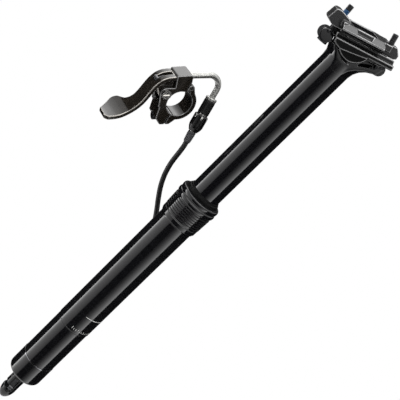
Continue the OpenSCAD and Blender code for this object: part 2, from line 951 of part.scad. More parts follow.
module noodle() {
    color(silver)
        noodle_frame()
            difference() {
                union() {
                    translate([-10, 0, 0]) rotate([0, 90, 0]) cylinder(r = noodle_r, h = noodle_out + 10);
                    noodle_corner(noodle_r, 0);
                    translate([noodle_out, 0, -noodle_bend])
                        rotate([0, noodle_turn - 90, 0])
                            translate([noodle_bend, 0, -noodle_end]) cylinder(r = noodle_r, h = noodle_end);
                }
                translate([-11, 0, 0]) rotate([0, 90, 0]) cylinder(r = 1, h = noodle_out + 10.8);
                noodle_corner(1.2, 4);
                translate([noodle_out, 0, -noodle_bend])
                    rotate([0, noodle_turn - 90, 0])
                        translate([noodle_bend, 0, -noodle_end - 1]) cylinder(r = 1, h = noodle_end + 0.8);
            }
}

// In-line adjuster below the guide tube, from the top down
module adjuster_cap() {
    color(silver)
        on_connector() {
            ring(4.9, noodle_r, 0, 2.4);
            ring(4.2, noodle_r, -2, 0.1);
        }
}

module adjuster_sleeve() {
    color(black)
        on_connector()
            difference() {
                translate([0, 0, -12.6]) cylinder(r = 4.9, h = 12.5);
                translate([0, 0, -2]) cylinder(r = 4.2, h = 4);
                translate([0, 0, -14]) cylinder(r = 2.6, h = 20);
            }
}

module adjuster_core() {
    color(silver)
        on_connector() {
            ring(2.6, 1, -30, -2);
            ring(4.6, 2.5, -13.6, -12.6);
        }
}

module adjuster_barrel() {
    color(black)
        on_connector()
            difference() {
                rotate_extrude()
                    polygon([
                        [2.6 + run_gap, -13.9],
                        [5.2, -13.9],
                        [6, -14.7],
                        [6, -24],
                        [5.4, -26.4],
                        [3.9, -29.4],
                        [2.6 + run_gap, -29.4],
                    ]);
                for (i = [0:5])
                    rotate([0, 0, 60*i + 12]) translate([6.2, 0, -16]) cube([1.6, 1.8, 4.4], center = true);
                for (i = [0:5])
                    rotate([0, 0, 60*i + 42]) translate([6.5, 0, -21]) cube([1.6, 1.2, 9], center = true);
            }
}

module cable_boot() {
    color(rubber)
        on_connector()
            translate([0, 0, boot_z])
                rotate_extrude()
                    polygon([
                        [0, 0],
                        [cable_d/2 + 0.5, 0],
                        for (i = [0:4], k = [0, 1])
                            [cable_d/2 + 0.6 + 0.1*i + 0.35*k, 0.8 + 1.4*i + 0.7*k],
                        [cable_d/2 + 1.2, boot_l - 1],
                        [cable_d/2 + 1.2, boot_l],
                        [0, boot_l],
                    ]);
}

// Cable housing: points of the whole route and one tube along it
function hank_place(p) =
    [
        p[0]*cos(hank_turn) - p[1]*sin(hank_turn),
        p[0]*sin(hank_turn) + p[1]*cos(hank_turn),
        p[2],
    ];
function drawn_in(z) = fold_r - hank_pinch*pow(cos(180*z/hank_run), 2);
function loop_xz(k) =
    let (h = hank_run/2, side = floor(k/6), t = (k % 6)/6)
    side == 0 ? [drawn_in(h - 2*h*t), h - 2*h*t]
    : side == 1 ? [fold_r*cos(180*t), -h - fold_r*sin(180*t)]
    : side == 2 ? [-drawn_in(2*h*t - h), 2*h*t - h]
    : [-fold_r*cos(180*t), h + fold_r*sin(180*t)];
hank = [
    for (i = [0:24*hank_loops + 6])
        let (p = i == 24*hank_loops + 6 ? [fold_r, -hank_run/2] : loop_xz(i % 24))
        hank_place([p[0], hank_y + hank_pitch*i/24, hank_z + p[1]])
];
ferrule_back = stop_y + free_gap + ferrule_l;
boot_l = 10;
boot_z = -30 - boot_l;
// The remote's turns, as functions, so that the cable starts where the boot ends
function turn_x(a, v) = [v[0], v[1]*cos(a) - v[2]*sin(a), v[1]*sin(a) + v[2]*cos(a)];
function turn_y(a, v) = [v[0]*cos(a) + v[2]*sin(a), v[1], v[2]*cos(a) - v[0]*sin(a)];
function turn_z(a, v) = [v[0]*cos(a) - v[1]*sin(a), v[0]*sin(a) + v[1]*cos(a), v[2]];
function from_remote(v) =
    remote_at + turn_z(remote_turn[2], turn_y(remote_turn[1], turn_x(remote_turn[0], v)));
function from_noodle(v) = from_remote([noodle_x, 0, wire_arm] + turn_x(noodle_roll, v));
function from_connector(z) =
    from_noodle([noodle_out, 0, -noodle_bend] + turn_y(noodle_turn - 90, [noodle_bend, 0, z - noodle_end]));
route_end = [
    [0.2, ferrule_back + 3.2, wire_z - 0.2],
    [0, ferrule_back, wire_z],
];
// Three stretches that meet face to face, each with the way that its two ends point
down = [0, 0, -1];
upper_route = concat([from_connector(boot_z), from_connector(boot_z - 4)], lead_in, [hank[0]]);
lower_route = concat([hank[len(hank) - 1]], [for (p = lead_out) p + [0, 0, cap_z]], route_end);
cable_sides = 6;

function unit(v) = v/norm(v);
function ways(route, first, last) =
    [
        for (i = [0:len(route) - 1])
            i == 0 ? first : i == len(route) - 1 ? last : unit(route[i + 1] - route[i - 1])
    ];
// Each ring's side vector is carried on from the last ring, so the tube doesn't twist
function sides_from(way, i, last) =
    i == len(way) ? []
    : let (s = unit(last - way[i]*(way[i]*last)))
    concat([s], sides_from(way, i + 1, s));

// One closed tube along a route
module tube_along(route, first, last) {
    n = len(route);
    m = cable_sides;
    way = ways(route, first, last);
    side = sides_from(way, 0, [1, 0, 0]);
    points = [
        for (i = [0:n - 1], k = [0:m - 1])
            let (a = 360*k/m) route[i] + cable_d/2*(side[i]*cos(a) + cross(way[i], side[i])*sin(a))
    ];
    faces = concat(
        [for (k = [1:m - 2]) [k, k + 1, 0]],
        [
            for (i = [0:n - 2], k = [0:m - 1], f = [0, 1])
                let (a = i*m + k, b = i*m + (k + 1) % m)
                f == 0 ? [b + m, b, a] : [a + m, b + m, a]
        ],
        [for (k = [1:m - 2]) [(n - 1)*m + k + 1, (n - 1)*m + k, (n - 1)*m]]
    );
    polyhedron(points, faces);
}

module cable_upper() {
    color(rubber) tube_along(upper_route, unit(upper_route[1] - upper_route[0]), down);
}

module cable_hank() {
    color(rubber) tube_along(hank, down, down);
}

module cable_lower() {
    color(rubber) tube_along(lower_route, down, [0, -1, 0]);
}

// Strap that holds the hank's runs together
module hank_tie() {
    half_x = fold_r - hank_pinch + cable_d/2 + free_gap;
    y_low = hank_y - cable_d/2 - free_gap;
    y_high = hank_y + hank_pitch*(hank_loops + 0.5) + cable_d/2 + free_gap;
    tie_t = 1.2;
    tie_h = 9;
    color(rubber)
        rotate([0, 0, hank_turn])
            translate([0, 0, hank_z - tie_h/2])
                difference() {
                    translate([-half_x - tie_t, y_low - tie_t, 0])
                        cube([2*half_x + 2*tie_t, y_high - y_low + 2*tie_t, tie_h]);
                    translate([-half_x, y_low, -1]) cube([2*half_x, y_high - y_low, tie_h + 2]);
                }
}

module end_ferrule() {
    color(silver)
        translate([0, stop_y + free_gap, wire_z])
            rotate([-90, 0, 0])
                difference() {
                    union() {
                        cylinder(r = 2.9, h = ferrule_l);
                        translate([0, 0, -2.6]) cylinder(r = 1.5, h = 3);
                    }
                    translate([0, 0, -5]) cylinder(r = wire_r + run_gap, h = 11);
                }
}

// The wire's barrel in the crank's hook, with the wire that the housing takes in
module wire_end() {
    color(silver)
        translate([0, barrel_y, wire_z]) {
            rotate([0, 90, 0]) cylinder(r = barrel_r, h = 3.6, center = true);
            rotate([-90, 0, 0]) cylinder(r = wire_r, h = stop_y - barrel_y + 1.5);
        }
}

// Least gap between one stretch of the housing and another, and the housing's length
route = concat(upper_route, [for (i = [1:len(hank) - 2]) hank[i]], lower_route);
steps = [for (i = [1:len(route) - 1]) norm(route[i] - route[i - 1])];
union() {  // cable_hank
    echo(
        "least gap of the housing to itself, mm",
        min([for (i = [0:len(route) - 1], j = [i + 6:1:len(route) - 1]) norm(route[i] - route[j]) - cable_d])
    );
    echo("length of the housing, mm", steps*[for (i = steps) 1]);
}

outer_tube();
end_cap();
cap_ring();
collar();
wiper_seal();
upper_bushing();
top_out_bumper();
bottom_bumper();
cartridge_rod();
rod_piston();
rod_nut();
actuator_housing();
crank();
crank_pin();
valve_pin();
stanchion();
seat_head();
lower_bushing();
guide_keys();
cartridge_tube();
cartridge_gland();
cartridge_cap();
floating_piston();
clamp_bolts();
clamp_washers();
lower_cradle();
upper_clamp();
front_nut();
rear_nut();
remote_bracket();
bar_strap();
strap_pin();
strap_bolt();
pivot_screw();
pivot_nut();
lever();
lever_bush();
lever_nipple();
pull_wire();
noodle();
adjuster_cap();
adjuster_sleeve();
adjuster_core();
adjuster_barrel();
cable_boot();
cable_upper();
cable_hank();
cable_lower();
hank_tie();
end_ferrule();
wire_end();
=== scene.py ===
# %% [markdown]
# # A dropper seatpost
#
# The object is a seatpost that slides down at the push of a thumb lever: a tube for the frame, a
# stanchion with a saddle clamp, a bar remote and the cable between them. The CAD solids give every
# place and size. This script dresses them: it lights them, finishes their surfaces and rebuilds
# the pieces whose real form is softer or finer than a solid of plain cuts.

# %% Load the frame
import math

import bmesh
import bpy
from mathutils import Matrix, Vector


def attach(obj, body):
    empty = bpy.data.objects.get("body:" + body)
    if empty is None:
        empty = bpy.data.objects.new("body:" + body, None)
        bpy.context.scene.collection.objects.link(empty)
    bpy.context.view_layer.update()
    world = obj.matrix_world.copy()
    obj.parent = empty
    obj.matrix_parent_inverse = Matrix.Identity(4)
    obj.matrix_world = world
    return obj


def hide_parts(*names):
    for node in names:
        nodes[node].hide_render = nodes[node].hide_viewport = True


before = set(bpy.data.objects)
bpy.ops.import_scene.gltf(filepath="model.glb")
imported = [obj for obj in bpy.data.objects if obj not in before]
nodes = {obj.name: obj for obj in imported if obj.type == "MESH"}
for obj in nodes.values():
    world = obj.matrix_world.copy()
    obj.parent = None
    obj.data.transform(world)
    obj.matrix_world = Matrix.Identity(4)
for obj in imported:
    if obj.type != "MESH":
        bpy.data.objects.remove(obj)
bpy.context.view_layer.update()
MM = 0.001

# %% [markdown]
# ## Camera
#
# The post lies across the picture from lower left to upper right, seen from its left side and a
# little from above. Rolling the camera gives that slope while the post itself stays upright, so
# every CAD place still holds. The three directions are the camera's own right, up and back.

# %% Camera
CAMERA_AT = Vector((-0.1451, -0.6828, 0.2336))
CAMERA_RIGHT = Vector((0.7282, 0.0522, 0.6834))
CAMERA_BACK = Vector((-0.1993, -0.9379, 0.2840))
camera_data = bpy.data.cameras.new("camera")
camera_data.lens = 81.8
camera_data.sensor_width = 36
camera_data.shift_y = -0.00275
camera_data.clip_start = 0.01
camera = bpy.data.objects.new("camera", camera_data)
bpy.context.scene.collection.objects.link(camera)
back = CAMERA_BACK.normalized()
right = (CAMERA_RIGHT - back * back.dot(CAMERA_RIGHT)).normalized()
turn = Matrix((right, back.cross(right), back)).transposed()
camera.matrix_world = Matrix.Translation(CAMERA_AT) @ turn.to_4x4()
bpy.context.scene.camera = camera
print("camera is", round(CAMERA_AT.length, 3), "m from the collar")

# %% [markdown]
# ## Frames of the remote and the bolts
#
# Some pieces are drawn in frames of their own, as a maker would draw them: the remote lies askew
# beside the post, the adjuster hangs on the second run of the bent guide tube, and each clamp bolt
# leans its own way. The same turns as in the CAD give one matrix for each.

# %% Frames
def shift(x, y, z):
    """A move given in millimetres."""
    return Matrix.Translation(Vector((x, y, z)) * MM)


def spin(degrees, axis):
    """A turn about one axis."""
    return Matrix.Rotation(math.radians(degrees), 4, axis)


RAIL_Z = 202.5
WIRE_ARM = 12
BRACKET_END = 21
NOODLE_OUT = 18.3
NOODLE_BEND = 9
NOODLE_TURN = 115
NOODLE_DOWN = 10
BOOT_Z = -40
in_post = Matrix.Identity(4)
in_remote = shift(-79.5, 29, 65.5) @ spin(34, "Z") @ spin(-33, "Y") @ spin(-4.5, "X")
in_noodle = in_remote @ shift(BRACKET_END, 0, WIRE_ARM) @ spin(-10, "X")
on_connector = (
    in_noodle
    @ shift(NOODLE_OUT, 0, -NOODLE_BEND)
    @ spin(NOODLE_TURN - 90, "Y")
    @ shift(NOODLE_BEND, 0, -NOODLE_DOWN)
)
at_front_bolt = shift(-22.6, 0, RAIL_Z + 1) @ spin(-4.5, "Y")
at_rear_bolt = shift(19.2, 0, RAIL_Z + 9.4) @ spin(-16.8, "Y")
print("boot ends at", [round(x, 4) for x in on_connector @ Vector((0, 0, BOOT_Z * MM))])

# %% [markdown]
# ## Cable
#
# The housing is a stiff plastic jacket over wire, 1.40 m long. It leaves the boot, falls behind
# the tube and is folded there into a tied hank, out of sight, before it turns in to the actuator.
# A curve with a round bevel is the natural tool, because its line is the cable's own centreline.
# Its points follow the route of the solids, with a smooth curve put through the free stretches.
# The bevel is one unit deep, so each point's radius is the cable's own radius.

# %% Cable route
CABLE_D = 4.4
CAP_Z = -198
HANK_TURN = math.radians(-12)
HANK_Y = 24
HANK_Z = CAP_Z + 80
HANK_PITCH = CABLE_D + 0.6
HANK_RUN = 70
HANK_LOOPS = 5
FOLD_R = 13.2
HANK_PINCH = 3.5
LOOP_STEPS = 48
LEAD_STRAIGHT = 4
LEAD_PARTS = 6
WIRE_Z = -214.8
FERRULE_BACK = 18.8
lead_in = [
    (-31.9, 42, 32.4),
    (-30.7, 40.7, 21),
    (-28, 39.2, 10.5),
    (-23.8, 38, 1),
    (-18.2, 37, -8),
    (-12.2, 36, -16.5),
    (-7.6, 34.8, -23.5),
    (-3.4, 32.6, -31),
    (1.3, 29.2, -40),
    (7, 25.2, -50),
    (12.3, 22.2, -60),
    (16.1, 20.9, -71),
]
lead_out = [
    (22.6, 45.6, 34),
    (20, 44.8, 22.5),
    (15.6, 42.2, 11),
    (10.4, 37.8, 0.5),
    (5.4, 31.8, -8),
    (1.8, 25.4, -13.4),
]


def drawn_in(z):
    """Half the hank's width at a height, pulled in by the tie."""
    return FOLD_R - HANK_PINCH * math.cos(math.pi * z / HANK_RUN) ** 2


def hank_point(step):
    """One point of the hank: down on the right, round the fold, up on the left, and over."""
    half = HANK_RUN / 2
    quarter = LOOP_STEPS // 4
    side, part = divmod(step % LOOP_STEPS, quarter)
    t = part / quarter
    along = half - 2 * half * t
    bend = (math.cos(math.pi * t), math.sin(math.pi * t))
    x, z = [
        (drawn_in(along), along),
        (FOLD_R * bend[0], -half - FOLD_R * bend[1]),
        (-drawn_in(-along), -along),
        (-FOLD_R * bend[0], half + FOLD_R * bend[1]),
    ][side]
    y = HANK_Y + HANK_PITCH * step / LOOP_STEPS
    c, s = math.cos(HANK_TURN), math.sin(HANK_TURN)
    return Vector((x * c - y * s, x * s + y * c, HANK_Z + z))


def smooth_through(points, parts):
    """Points on a smooth curve that passes through the given ones."""
    full = [2 * points[0] - points[1], *points, 2 * points[-1] - points[-2]]
    line = []
    for a, b, c, d in zip(full, full[1:], full[2:], full[3:]):
        for k in range(parts):
            t = k / parts
            line.append(
                0.5
                * (
                    2 * b
                    + (c - a) * t
                    + (2 * a - 5 * b + 4 * c - d) * t**2
                    + (3 * b - a - 3 * c + d) * t**3
                )
            )
    return [*line, points[-1]]


hank = [hank_point(i) for i in range(LOOP_STEPS * HANK_LOOPS + LOOP_STEPS // 4 + 1)]
boot_end = (on_connector @ Vector((0, 0, BOOT_Z * MM))) / MM
boot_next = (on_connector @ Vector((0, 0, (BOOT_Z - LEAD_STRAIGHT) * MM))) / MM
upper = [boot_end, boot_next, *map(Vector, lead_in), hank[0]]
lower = [
    hank[-1],
    *[Vector((x, y, z + CAP_Z)) for x, y, z in lead_out],
    Vector((0.2, FERRULE_BACK + 3.2, WIRE_Z - 0.2)),
    Vector((0, FERRULE_BACK, WIRE_Z)),
]
route = smooth_through(upper, LEAD_PARTS)[:-1] + hank + smooth_through(lower, LEAD_PARTS)[1:]
cable_length = sum((b - a).length for a, b in zip(route, route[1:])) * MM
print("cable:", len(route), "points,", round(cable_length, 4), "m")

# %% Cable curve
def tube_along(name, line, diameter, resolution):
    """A round tube along points in metres, with a diameter in millimetres."""
    curve = bpy.data.curves.new(name, "CURVE")
    curve.dimensions = "3D"
    curve.bevel_depth = 1
    curve.bevel_resolution = resolution
    curve.use_fill_caps = True
    spline = curve.splines.new("POLY")
    spline.points.add(len(line) - 1)
    for point, place in zip(spline.points, line):
        point.co = (*place, 1)
        point.radius = diameter / 2 * MM
    spline.use_smooth = True
    made = bpy.data.objects.new(name, curve)
    bpy.context.scene.collection.objects.link(made)
    return made


cable = tube_along("cable_housing", [place * MM for place in route], CABLE_D, 6)
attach(cable, "remote")
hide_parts("cable_upper", "cable_hank", "cable_lower")
print("cable housing is", CABLE_D, "mm thick")

# %% [markdown]
# ## Studio
#
# A black tube shows little of itself: what the eye reads is the room in its surface. Here two
# broad panels of light stand left and right of the post, each brightest at its outer edge, and
# everything beyond them is dark, which leaves the two grey bands with black edges. Faces that look
# up have panels of their own, high behind, high in front and overhead. All but the overhead one are
# parts of a tall drum round the post, whose glow is painted by angle and height. The drum is hidden
# from the camera, so the white world is the background from every side.

# %% Drum of light
DRUM_R = 1.4
DRUM_LOW = -1.7
DRUM_HIGH = 1.7
DRUM_STEP = 2
SILL, LINTEL, RIM = 0.08, 0.4, 0.8
LEFT_FROM, LEFT_TO = 24, 86
RIGHT_FROM, RIGHT_TO = 17, 73
BROW_FROM, BROW_TO = -70, 24
BACK_FROM, BACK_MIDDLE, BACK_HALF = 100, 140, 40
BEHIND_FROM, FAR_FROM = 152, 160
FRONT_TO = 60
DARK = 0.008
BEHIND = 0.08
FAR_BACK = 0.06
BROW = 0.55
UPPER = 0.25
HIGH_FRONT, HIGH_SIDE = 3.0, 1.5
BACK_EVEN, BACK_PEAK = 0.7, 3.2
OVERHEAD = 3.2
OVERHEAD_R = 0.45
camera_angle = math.degrees(math.atan2(back.y, back.x))


def left_panel(t):
    """Glow across the left panel, from its inner edge at 0 to its outer edge at 1."""
    return 0.45 + 1.1 * t + 5.5 * t**9


def right_panel(t):
    """Glow across the right panel, from its inner edge at 0 to its outer edge at 1."""
    return 0.1 + 2.6 * t**1.8


def glow(side, height):
    """Light from the drum at an angle round the post from the camera and at a height."""
    if abs(side) > FAR_FROM and height < RIM:
        return FAR_BACK
    if height > LINTEL and abs(side) > BACK_FROM:
        peak = max(0, 1 - abs(side - BACK_MIDDLE) / BACK_HALF)
        return BACK_EVEN + BACK_PEAK * peak * min(1, height)
    if height > RIM:
        return HIGH_FRONT if abs(side) < FRONT_TO else HIGH_SIDE
    if height > LINTEL:
        return UPPER
    if height > SILL and BROW_FROM < side < BROW_TO:
        return BROW
    if LEFT_FROM < side < LEFT_TO:
        return left_panel((side - LEFT_FROM) / (LEFT_TO - LEFT_FROM))
    if RIGHT_FROM < -side < RIGHT_TO:
        return right_panel((-side - RIGHT_FROM) / (RIGHT_TO - RIGHT_FROM))
    return BEHIND if abs(side) > BEHIND_FROM else DARK


def drum_of_light():
    """A drum of quads and a round panel over it, each face with its own even glow."""
    heights = [DRUM_LOW, -0.8, SILL, LINTEL, 0.6, RIM, 1.0, 1.3, DRUM_HIGH]
    angles = list(range(-180, 181, DRUM_STEP))
    verts, faces, light = [], [], []
    for z in heights:
        for a in angles:
            turned_by = math.radians(camera_angle - a)
            verts.append((DRUM_R * math.cos(turned_by), DRUM_R * math.sin(turned_by), z))
    wide = len(angles)
    for row, z in enumerate(heights[:-1]):
        middle = (z + heights[row + 1]) / 2
        for k in range(wide - 1):
            first = row * wide + k
            faces.append((first, first + 1, first + 1 + wide, first + wide))
            light.append(glow((angles[k] + angles[k + 1]) / 2, middle))
    start = len(verts)
    for a in range(0, 360, 15):
        turned_by = math.radians(a)
        verts.append((OVERHEAD_R * math.cos(turned_by), OVERHEAD_R * math.sin(turned_by), DRUM_HIGH))
    faces.append(tuple(range(start, len(verts))))
    light.append(OVERHEAD)
    mesh = bpy.data.meshes.new("light_drum")
    mesh.from_pydata(verts, [], faces)
    glows = mesh.attributes.new("glow", "FLOAT", "FACE")
    glows.data.foreach_set("value", light)
    made = bpy.data.objects.new("light_drum", mesh)
    bpy.context.scene.collection.objects.link(made)
    return made


drum = drum_of_light()
drum.visible_camera = False
drum.visible_shadow = False
drum_light = bpy.data.materials.new("drum_light")
drum_light.use_nodes = True
tree = drum_light.node_tree
tree.nodes.clear()
own_glow = tree.nodes.new("ShaderNodeAttribute")
own_glow.attribute_name = "glow"
lamp = tree.nodes.new("ShaderNodeEmission")
lamp_out = tree.nodes.new("ShaderNodeOutputMaterial")
tree.links.new(own_glow.outputs["Fac"], lamp.inputs["Strength"])
tree.links.new(lamp.outputs["Emission"], lamp_out.inputs["Surface"])
drum.data.materials.append(drum_light)
print("drum of light:", len(drum.data.polygons), "panels")

# %% [markdown]
# ## Background and floor
#
# The picture's ground is plain white. The world is white to the camera and in reflections, and a
# soft grey as a source of light, so that the white never floods the object. The pale floor lies
# well under the post, which hangs in the air as it does on a white page.

# %% World and floor
scene = bpy.context.scene
scene.view_settings.view_transform = "Standard"
FILL = 0.35
FLOOR_Z = -1.72
FLOOR_HALF = 4


def seen_directly(tree):
    """Nodes that give 1 for rays from the camera, a reflection or a glass, and else 0."""
    path = tree.nodes.new("ShaderNodeLightPath")
    seen = path.outputs["Is Camera Ray"]
    for other in ("Is Glossy Ray", "Is Transmission Ray"):
        either = tree.nodes.new("ShaderNodeMath")
        either.operation = "MAXIMUM"
        tree.links.new(seen, either.inputs[0])
        tree.links.new(path.outputs[other], either.inputs[1])
        seen = either.outputs[0]
    return seen


world = bpy.data.worlds.new("white_page")
scene.world = world
world.use_nodes = True
tree = world.node_tree
tree.nodes.clear()
page = tree.nodes.new("ShaderNodeBackground")
fill = tree.nodes.new("ShaderNodeBackground")
fill.inputs["Strength"].default_value = FILL
either = tree.nodes.new("ShaderNodeMixShader")
world_out = tree.nodes.new("ShaderNodeOutputWorld")
page.inputs["Color"].default_value = (1, 1, 1, 1)
fill.inputs["Color"].default_value = (1, 1, 1, 1)
tree.links.new(seen_directly(tree), either.inputs[0])
tree.links.new(fill.outputs[0], either.inputs[1])
tree.links.new(page.outputs[0], either.inputs[2])
tree.links.new(either.outputs[0], world_out.inputs["Surface"])

floor_mesh = bpy.data.meshes.new("floor")
floor_corners = []
for x, y in ((-1, -1), (1, -1), (1, 1), (-1, 1)):
    floor_corners.append((x * FLOOR_HALF, y * FLOOR_HALF, FLOOR_Z))
floor_mesh.from_pydata(floor_corners, [], [(0, 1, 2, 3)])
floor = bpy.data.objects.new("floor", floor_mesh)
scene.collection.objects.link(floor)
floor_paint = bpy.data.materials.new("pale_floor")
floor_paint.use_nodes = True
tree = floor_paint.node_tree
tree.nodes.clear()
lit = tree.nodes.new("ShaderNodeBsdfDiffuse")
lit.inputs["Color"].default_value = (0.85, 0.85, 0.85, 1)
white = tree.nodes.new("ShaderNodeEmission")
mixed = tree.nodes.new("ShaderNodeMixShader")
floor_out = tree.nodes.new("ShaderNodeOutputMaterial")
tree.links.new(seen_directly(tree), mixed.inputs[0])
tree.links.new(lit.outputs[0], mixed.inputs[1])
tree.links.new(white.outputs[0], mixed.inputs[2])
tree.links.new(mixed.outputs[0], floor_out.inputs["Surface"])
floor.data.materials.append(floor_paint)
print("world fill", FILL, "and floor at", FLOOR_Z, "m")

# %% [markdown]
# ## Finishes
#
# Nearly every piece is aluminium, steel or rubber, so one function builds them all from the same
# few nodes: a noise that shifts the colour a little, a finer one that varies the roughness, and a
# bump from it for the grain. What differs from finish to finish is the scale and the amount.
# Each base colour is what the bare surface has in even light, except that some finishes paint a
# highlight on their edges.

# %% One finish
EDGE_FROM, EDGE_FULL = 0.506, 0.53
CLOUD_COARSER = 12
ROUGH_SPREAD = 0.2
GRAIN_DEEP = 0.0002


def bright_edges(tree, shader, shade, tone):
    """Lets bare metal show where the pointiness, 0.5 on a flat face, tells of a convex edge: worn
    edges, made lighter also as a painted highlight.
    """
    form = tree.nodes.new("ShaderNodeNewGeometry")
    edge = tree.nodes.new("ShaderNodeMapRange")
    edge.inputs["From Min"].default_value = EDGE_FROM
    edge.inputs["From Max"].default_value = EDGE_FULL
    tree.links.new(form.outputs["Pointiness"], edge.inputs["Value"])
    either = tree.nodes.new("ShaderNodeMix")
    either.data_type = "RGBA"
    tree.links.new(edge.outputs["Result"], either.inputs[0])
    tree.links.new(shade.outputs["Color"], either.inputs[6])
    either.inputs[7].default_value = (tone, tone, tone, 1)
    tree.links.new(either.outputs[2], shader.inputs["Base Color"])
    tree.links.new(edge.outputs["Result"], shader.inputs["Metallic"])


def surface(
    name,
    colour,
    rough,
    metal=0.0,
    grain=900,
    bump=0.0,
    vary=0.25,
    stretch=(1, 1, 1),
    gloss=0.5,
    edge_wear_and_highlight=0.0,
):
    """A finish: colour that wanders a little, uneven roughness and a fine grain."""
    made = bpy.data.materials.new(name)
    made.use_nodes = True
    tree = made.node_tree
    shader = tree.nodes["Principled BSDF"]
    shader.inputs["Metallic"].default_value = metal
    shader.inputs["Specular IOR Level"].default_value = gloss
    place = tree.nodes.new("ShaderNodeTexCoord")
    scaled = tree.nodes.new("ShaderNodeMapping")
    scaled.inputs["Scale"].default_value = stretch
    tree.links.new(place.outputs["Object"], scaled.inputs["Vector"])
    cloud = tree.nodes.new("ShaderNodeTexNoise")
    cloud.inputs["Scale"].default_value = grain / CLOUD_COARSER
    cloud.inputs["Detail"].default_value = 3
    fine = tree.nodes.new("ShaderNodeTexNoise")
    fine.inputs["Scale"].default_value = grain
    fine.inputs["Detail"].default_value = 4
    for noise in (cloud, fine):
        tree.links.new(scaled.outputs["Vector"], noise.inputs["Vector"])
    shade = tree.nodes.new("ShaderNodeValToRGB")
    ends = shade.color_ramp.elements
    ends[0].position, ends[1].position = 0.3, 0.7
    ends[0].color = (*[x * (1 - vary) for x in colour], 1)
    ends[1].color = (*[min(1, x * (1 + vary)) for x in colour], 1)
    tree.links.new(cloud.outputs["Fac"], shade.inputs["Fac"])
    tree.links.new(shade.outputs["Color"], shader.inputs["Base Color"])
    # Lighter metallic convex edges: bare-metal wear, and a painted highlight line along each edge.
    if edge_wear_and_highlight:
        bright_edges(tree, shader, shade, edge_wear_and_highlight)
    spread = tree.nodes.new("ShaderNodeMapRange")
    spread.inputs["To Min"].default_value = rough * (1 - ROUGH_SPREAD)
    spread.inputs["To Max"].default_value = min(1, rough * (1 + ROUGH_SPREAD))
    tree.links.new(fine.outputs["Fac"], spread.inputs["Value"])
    tree.links.new(spread.outputs["Result"], shader.inputs["Roughness"])
    if not bump:
        return made
    raised = tree.nodes.new("ShaderNodeBump")
    raised.inputs["Strength"].default_value = bump
    raised.inputs["Distance"].default_value = GRAIN_DEEP
    tree.links.new(fine.outputs["Fac"], raised.inputs["Height"])
    tree.links.new(raised.outputs["Normal"], shader.inputs["Normal"])
    return made


# %% The finishes of this post
made_before = len(bpy.data.materials)
tube_black = surface("tube_black", (0.006, 0.006, 0.007), 0.09, grain=700, stretch=(1, 1, 6), gloss=0.8)
slide_black = surface("slide_black", (0.005, 0.005, 0.006), 0.08, stretch=(1, 1, 8), gloss=0.8)
forged_black = surface("forged_black", (0.005, 0.005, 0.006), 0.13, grain=1600)
# Clamp, cradle and remote finishes have lighter edges, worn and also a painted edge highlight.
clamp_black = surface("clamp_black", (0.010, 0.010, 0.011), 0.18, grain=1400, gloss=0.8, edge_wear_and_highlight=0.35)
cradle_black = surface("cradle_black", (0.006, 0.006, 0.006), 0.2, grain=1400, gloss=0.12, edge_wear_and_highlight=0.24)
ring_metal = surface("ring_metal", (0.26, 0.26, 0.27), 0.1, metal=1.0, vary=0.08)
collar_black = surface("collar_black", (0.005, 0.005, 0.006), 0.07, stretch=(1, 1, 10), gloss=0.7)
remote_black = surface("remote_black", (0.016, 0.0135, 0.011), 0.09, grain=1800, gloss=0.5, edge_wear_and_highlight=0.3)
lever_black = surface("lever_black", (0.016, 0.0135, 0.011), 0.09, grain=1800)
# Bright metal for the lever's bevel: a polished edge and a painted edge highlight.
cut_edge_and_highlight = surface("cut_edge_and_highlight", (0.42, 0.40, 0.37), 0.28, metal=1.0, vary=0.1)
steel = surface("steel", (0.62, 0.61, 0.59), 0.18, metal=1.0, vary=0.06)
dark_steel = surface("dark_steel", (0.11, 0.11, 0.115), 0.34, metal=0.9, vary=0.15)
bolt_black = surface("bolt_black", (0.03, 0.03, 0.032), 0.35, metal=0.4)
bronze = surface("bronze", (0.42, 0.27, 0.12), 0.42, metal=0.8)
jacket = surface("jacket", (0.010, 0.010, 0.010), 0.34, grain=600, bump=0.01)
rubber = surface("rubber", (0.004, 0.004, 0.004), 0.5, grain=1400, bump=0.02, gloss=0.1)
boot_grey = surface("boot_grey", (0.045, 0.045, 0.05), 0.45, grain=1400, bump=0.03)
polished = surface("polished", (0.52, 0.52, 0.50), 0.4, metal=1.0, vary=0.03)
gloss_black = surface("gloss_black", (0.006, 0.006, 0.006), 0.2, grain=1200)
webbing = surface("webbing", (0.016, 0.016, 0.018), 0.85, grain=2600, bump=0.3, stretch=(1, 1, 2))
mark_paint = surface("mark_paint", (0.62, 0.62, 0.60), 0.5, grain=2400, vary=0.12)
thread_lock = surface("thread_lock", (0.02, 0.10, 0.24), 0.45, grain=2600, bump=0.05)
print("finishes:", len(bpy.data.materials) - made_before)

# %% [markdown]
# ## Dressing the solids
#
# Most solids have the right shape already and only need a finish. The forged pieces are different:
# no forging has a sharp edge, and the thin line of light along its rounded edges is what shows its
# shape. Two modifiers do it without touching a solid's own points. One lays a new even skin of small
# squares over the solid, and the other relaxes that skin, which rounds every edge a little.

# %% Solids that stay
def dress(name, finish):
    """Puts a finish on a CAD node."""
    solid = nodes[name]
    solid.data.materials.clear()
    solid.data.materials.append(finish)
    return solid


def forge(name, finish, square, rounds):
    """Puts a finish on a CAD node, and a rounded skin of squares of that size in millimetres."""
    solid = dress(name, finish)
    skin = solid.modifiers.new("even_skin", "REMESH")
    skin.mode = "VOXEL"
    skin.voxel_size = square * MM
    skin.use_smooth_shade = True
    relaxed = solid.modifiers.new("relaxed", "SMOOTH")
    relaxed.factor = 0.5
    relaxed.iterations = rounds


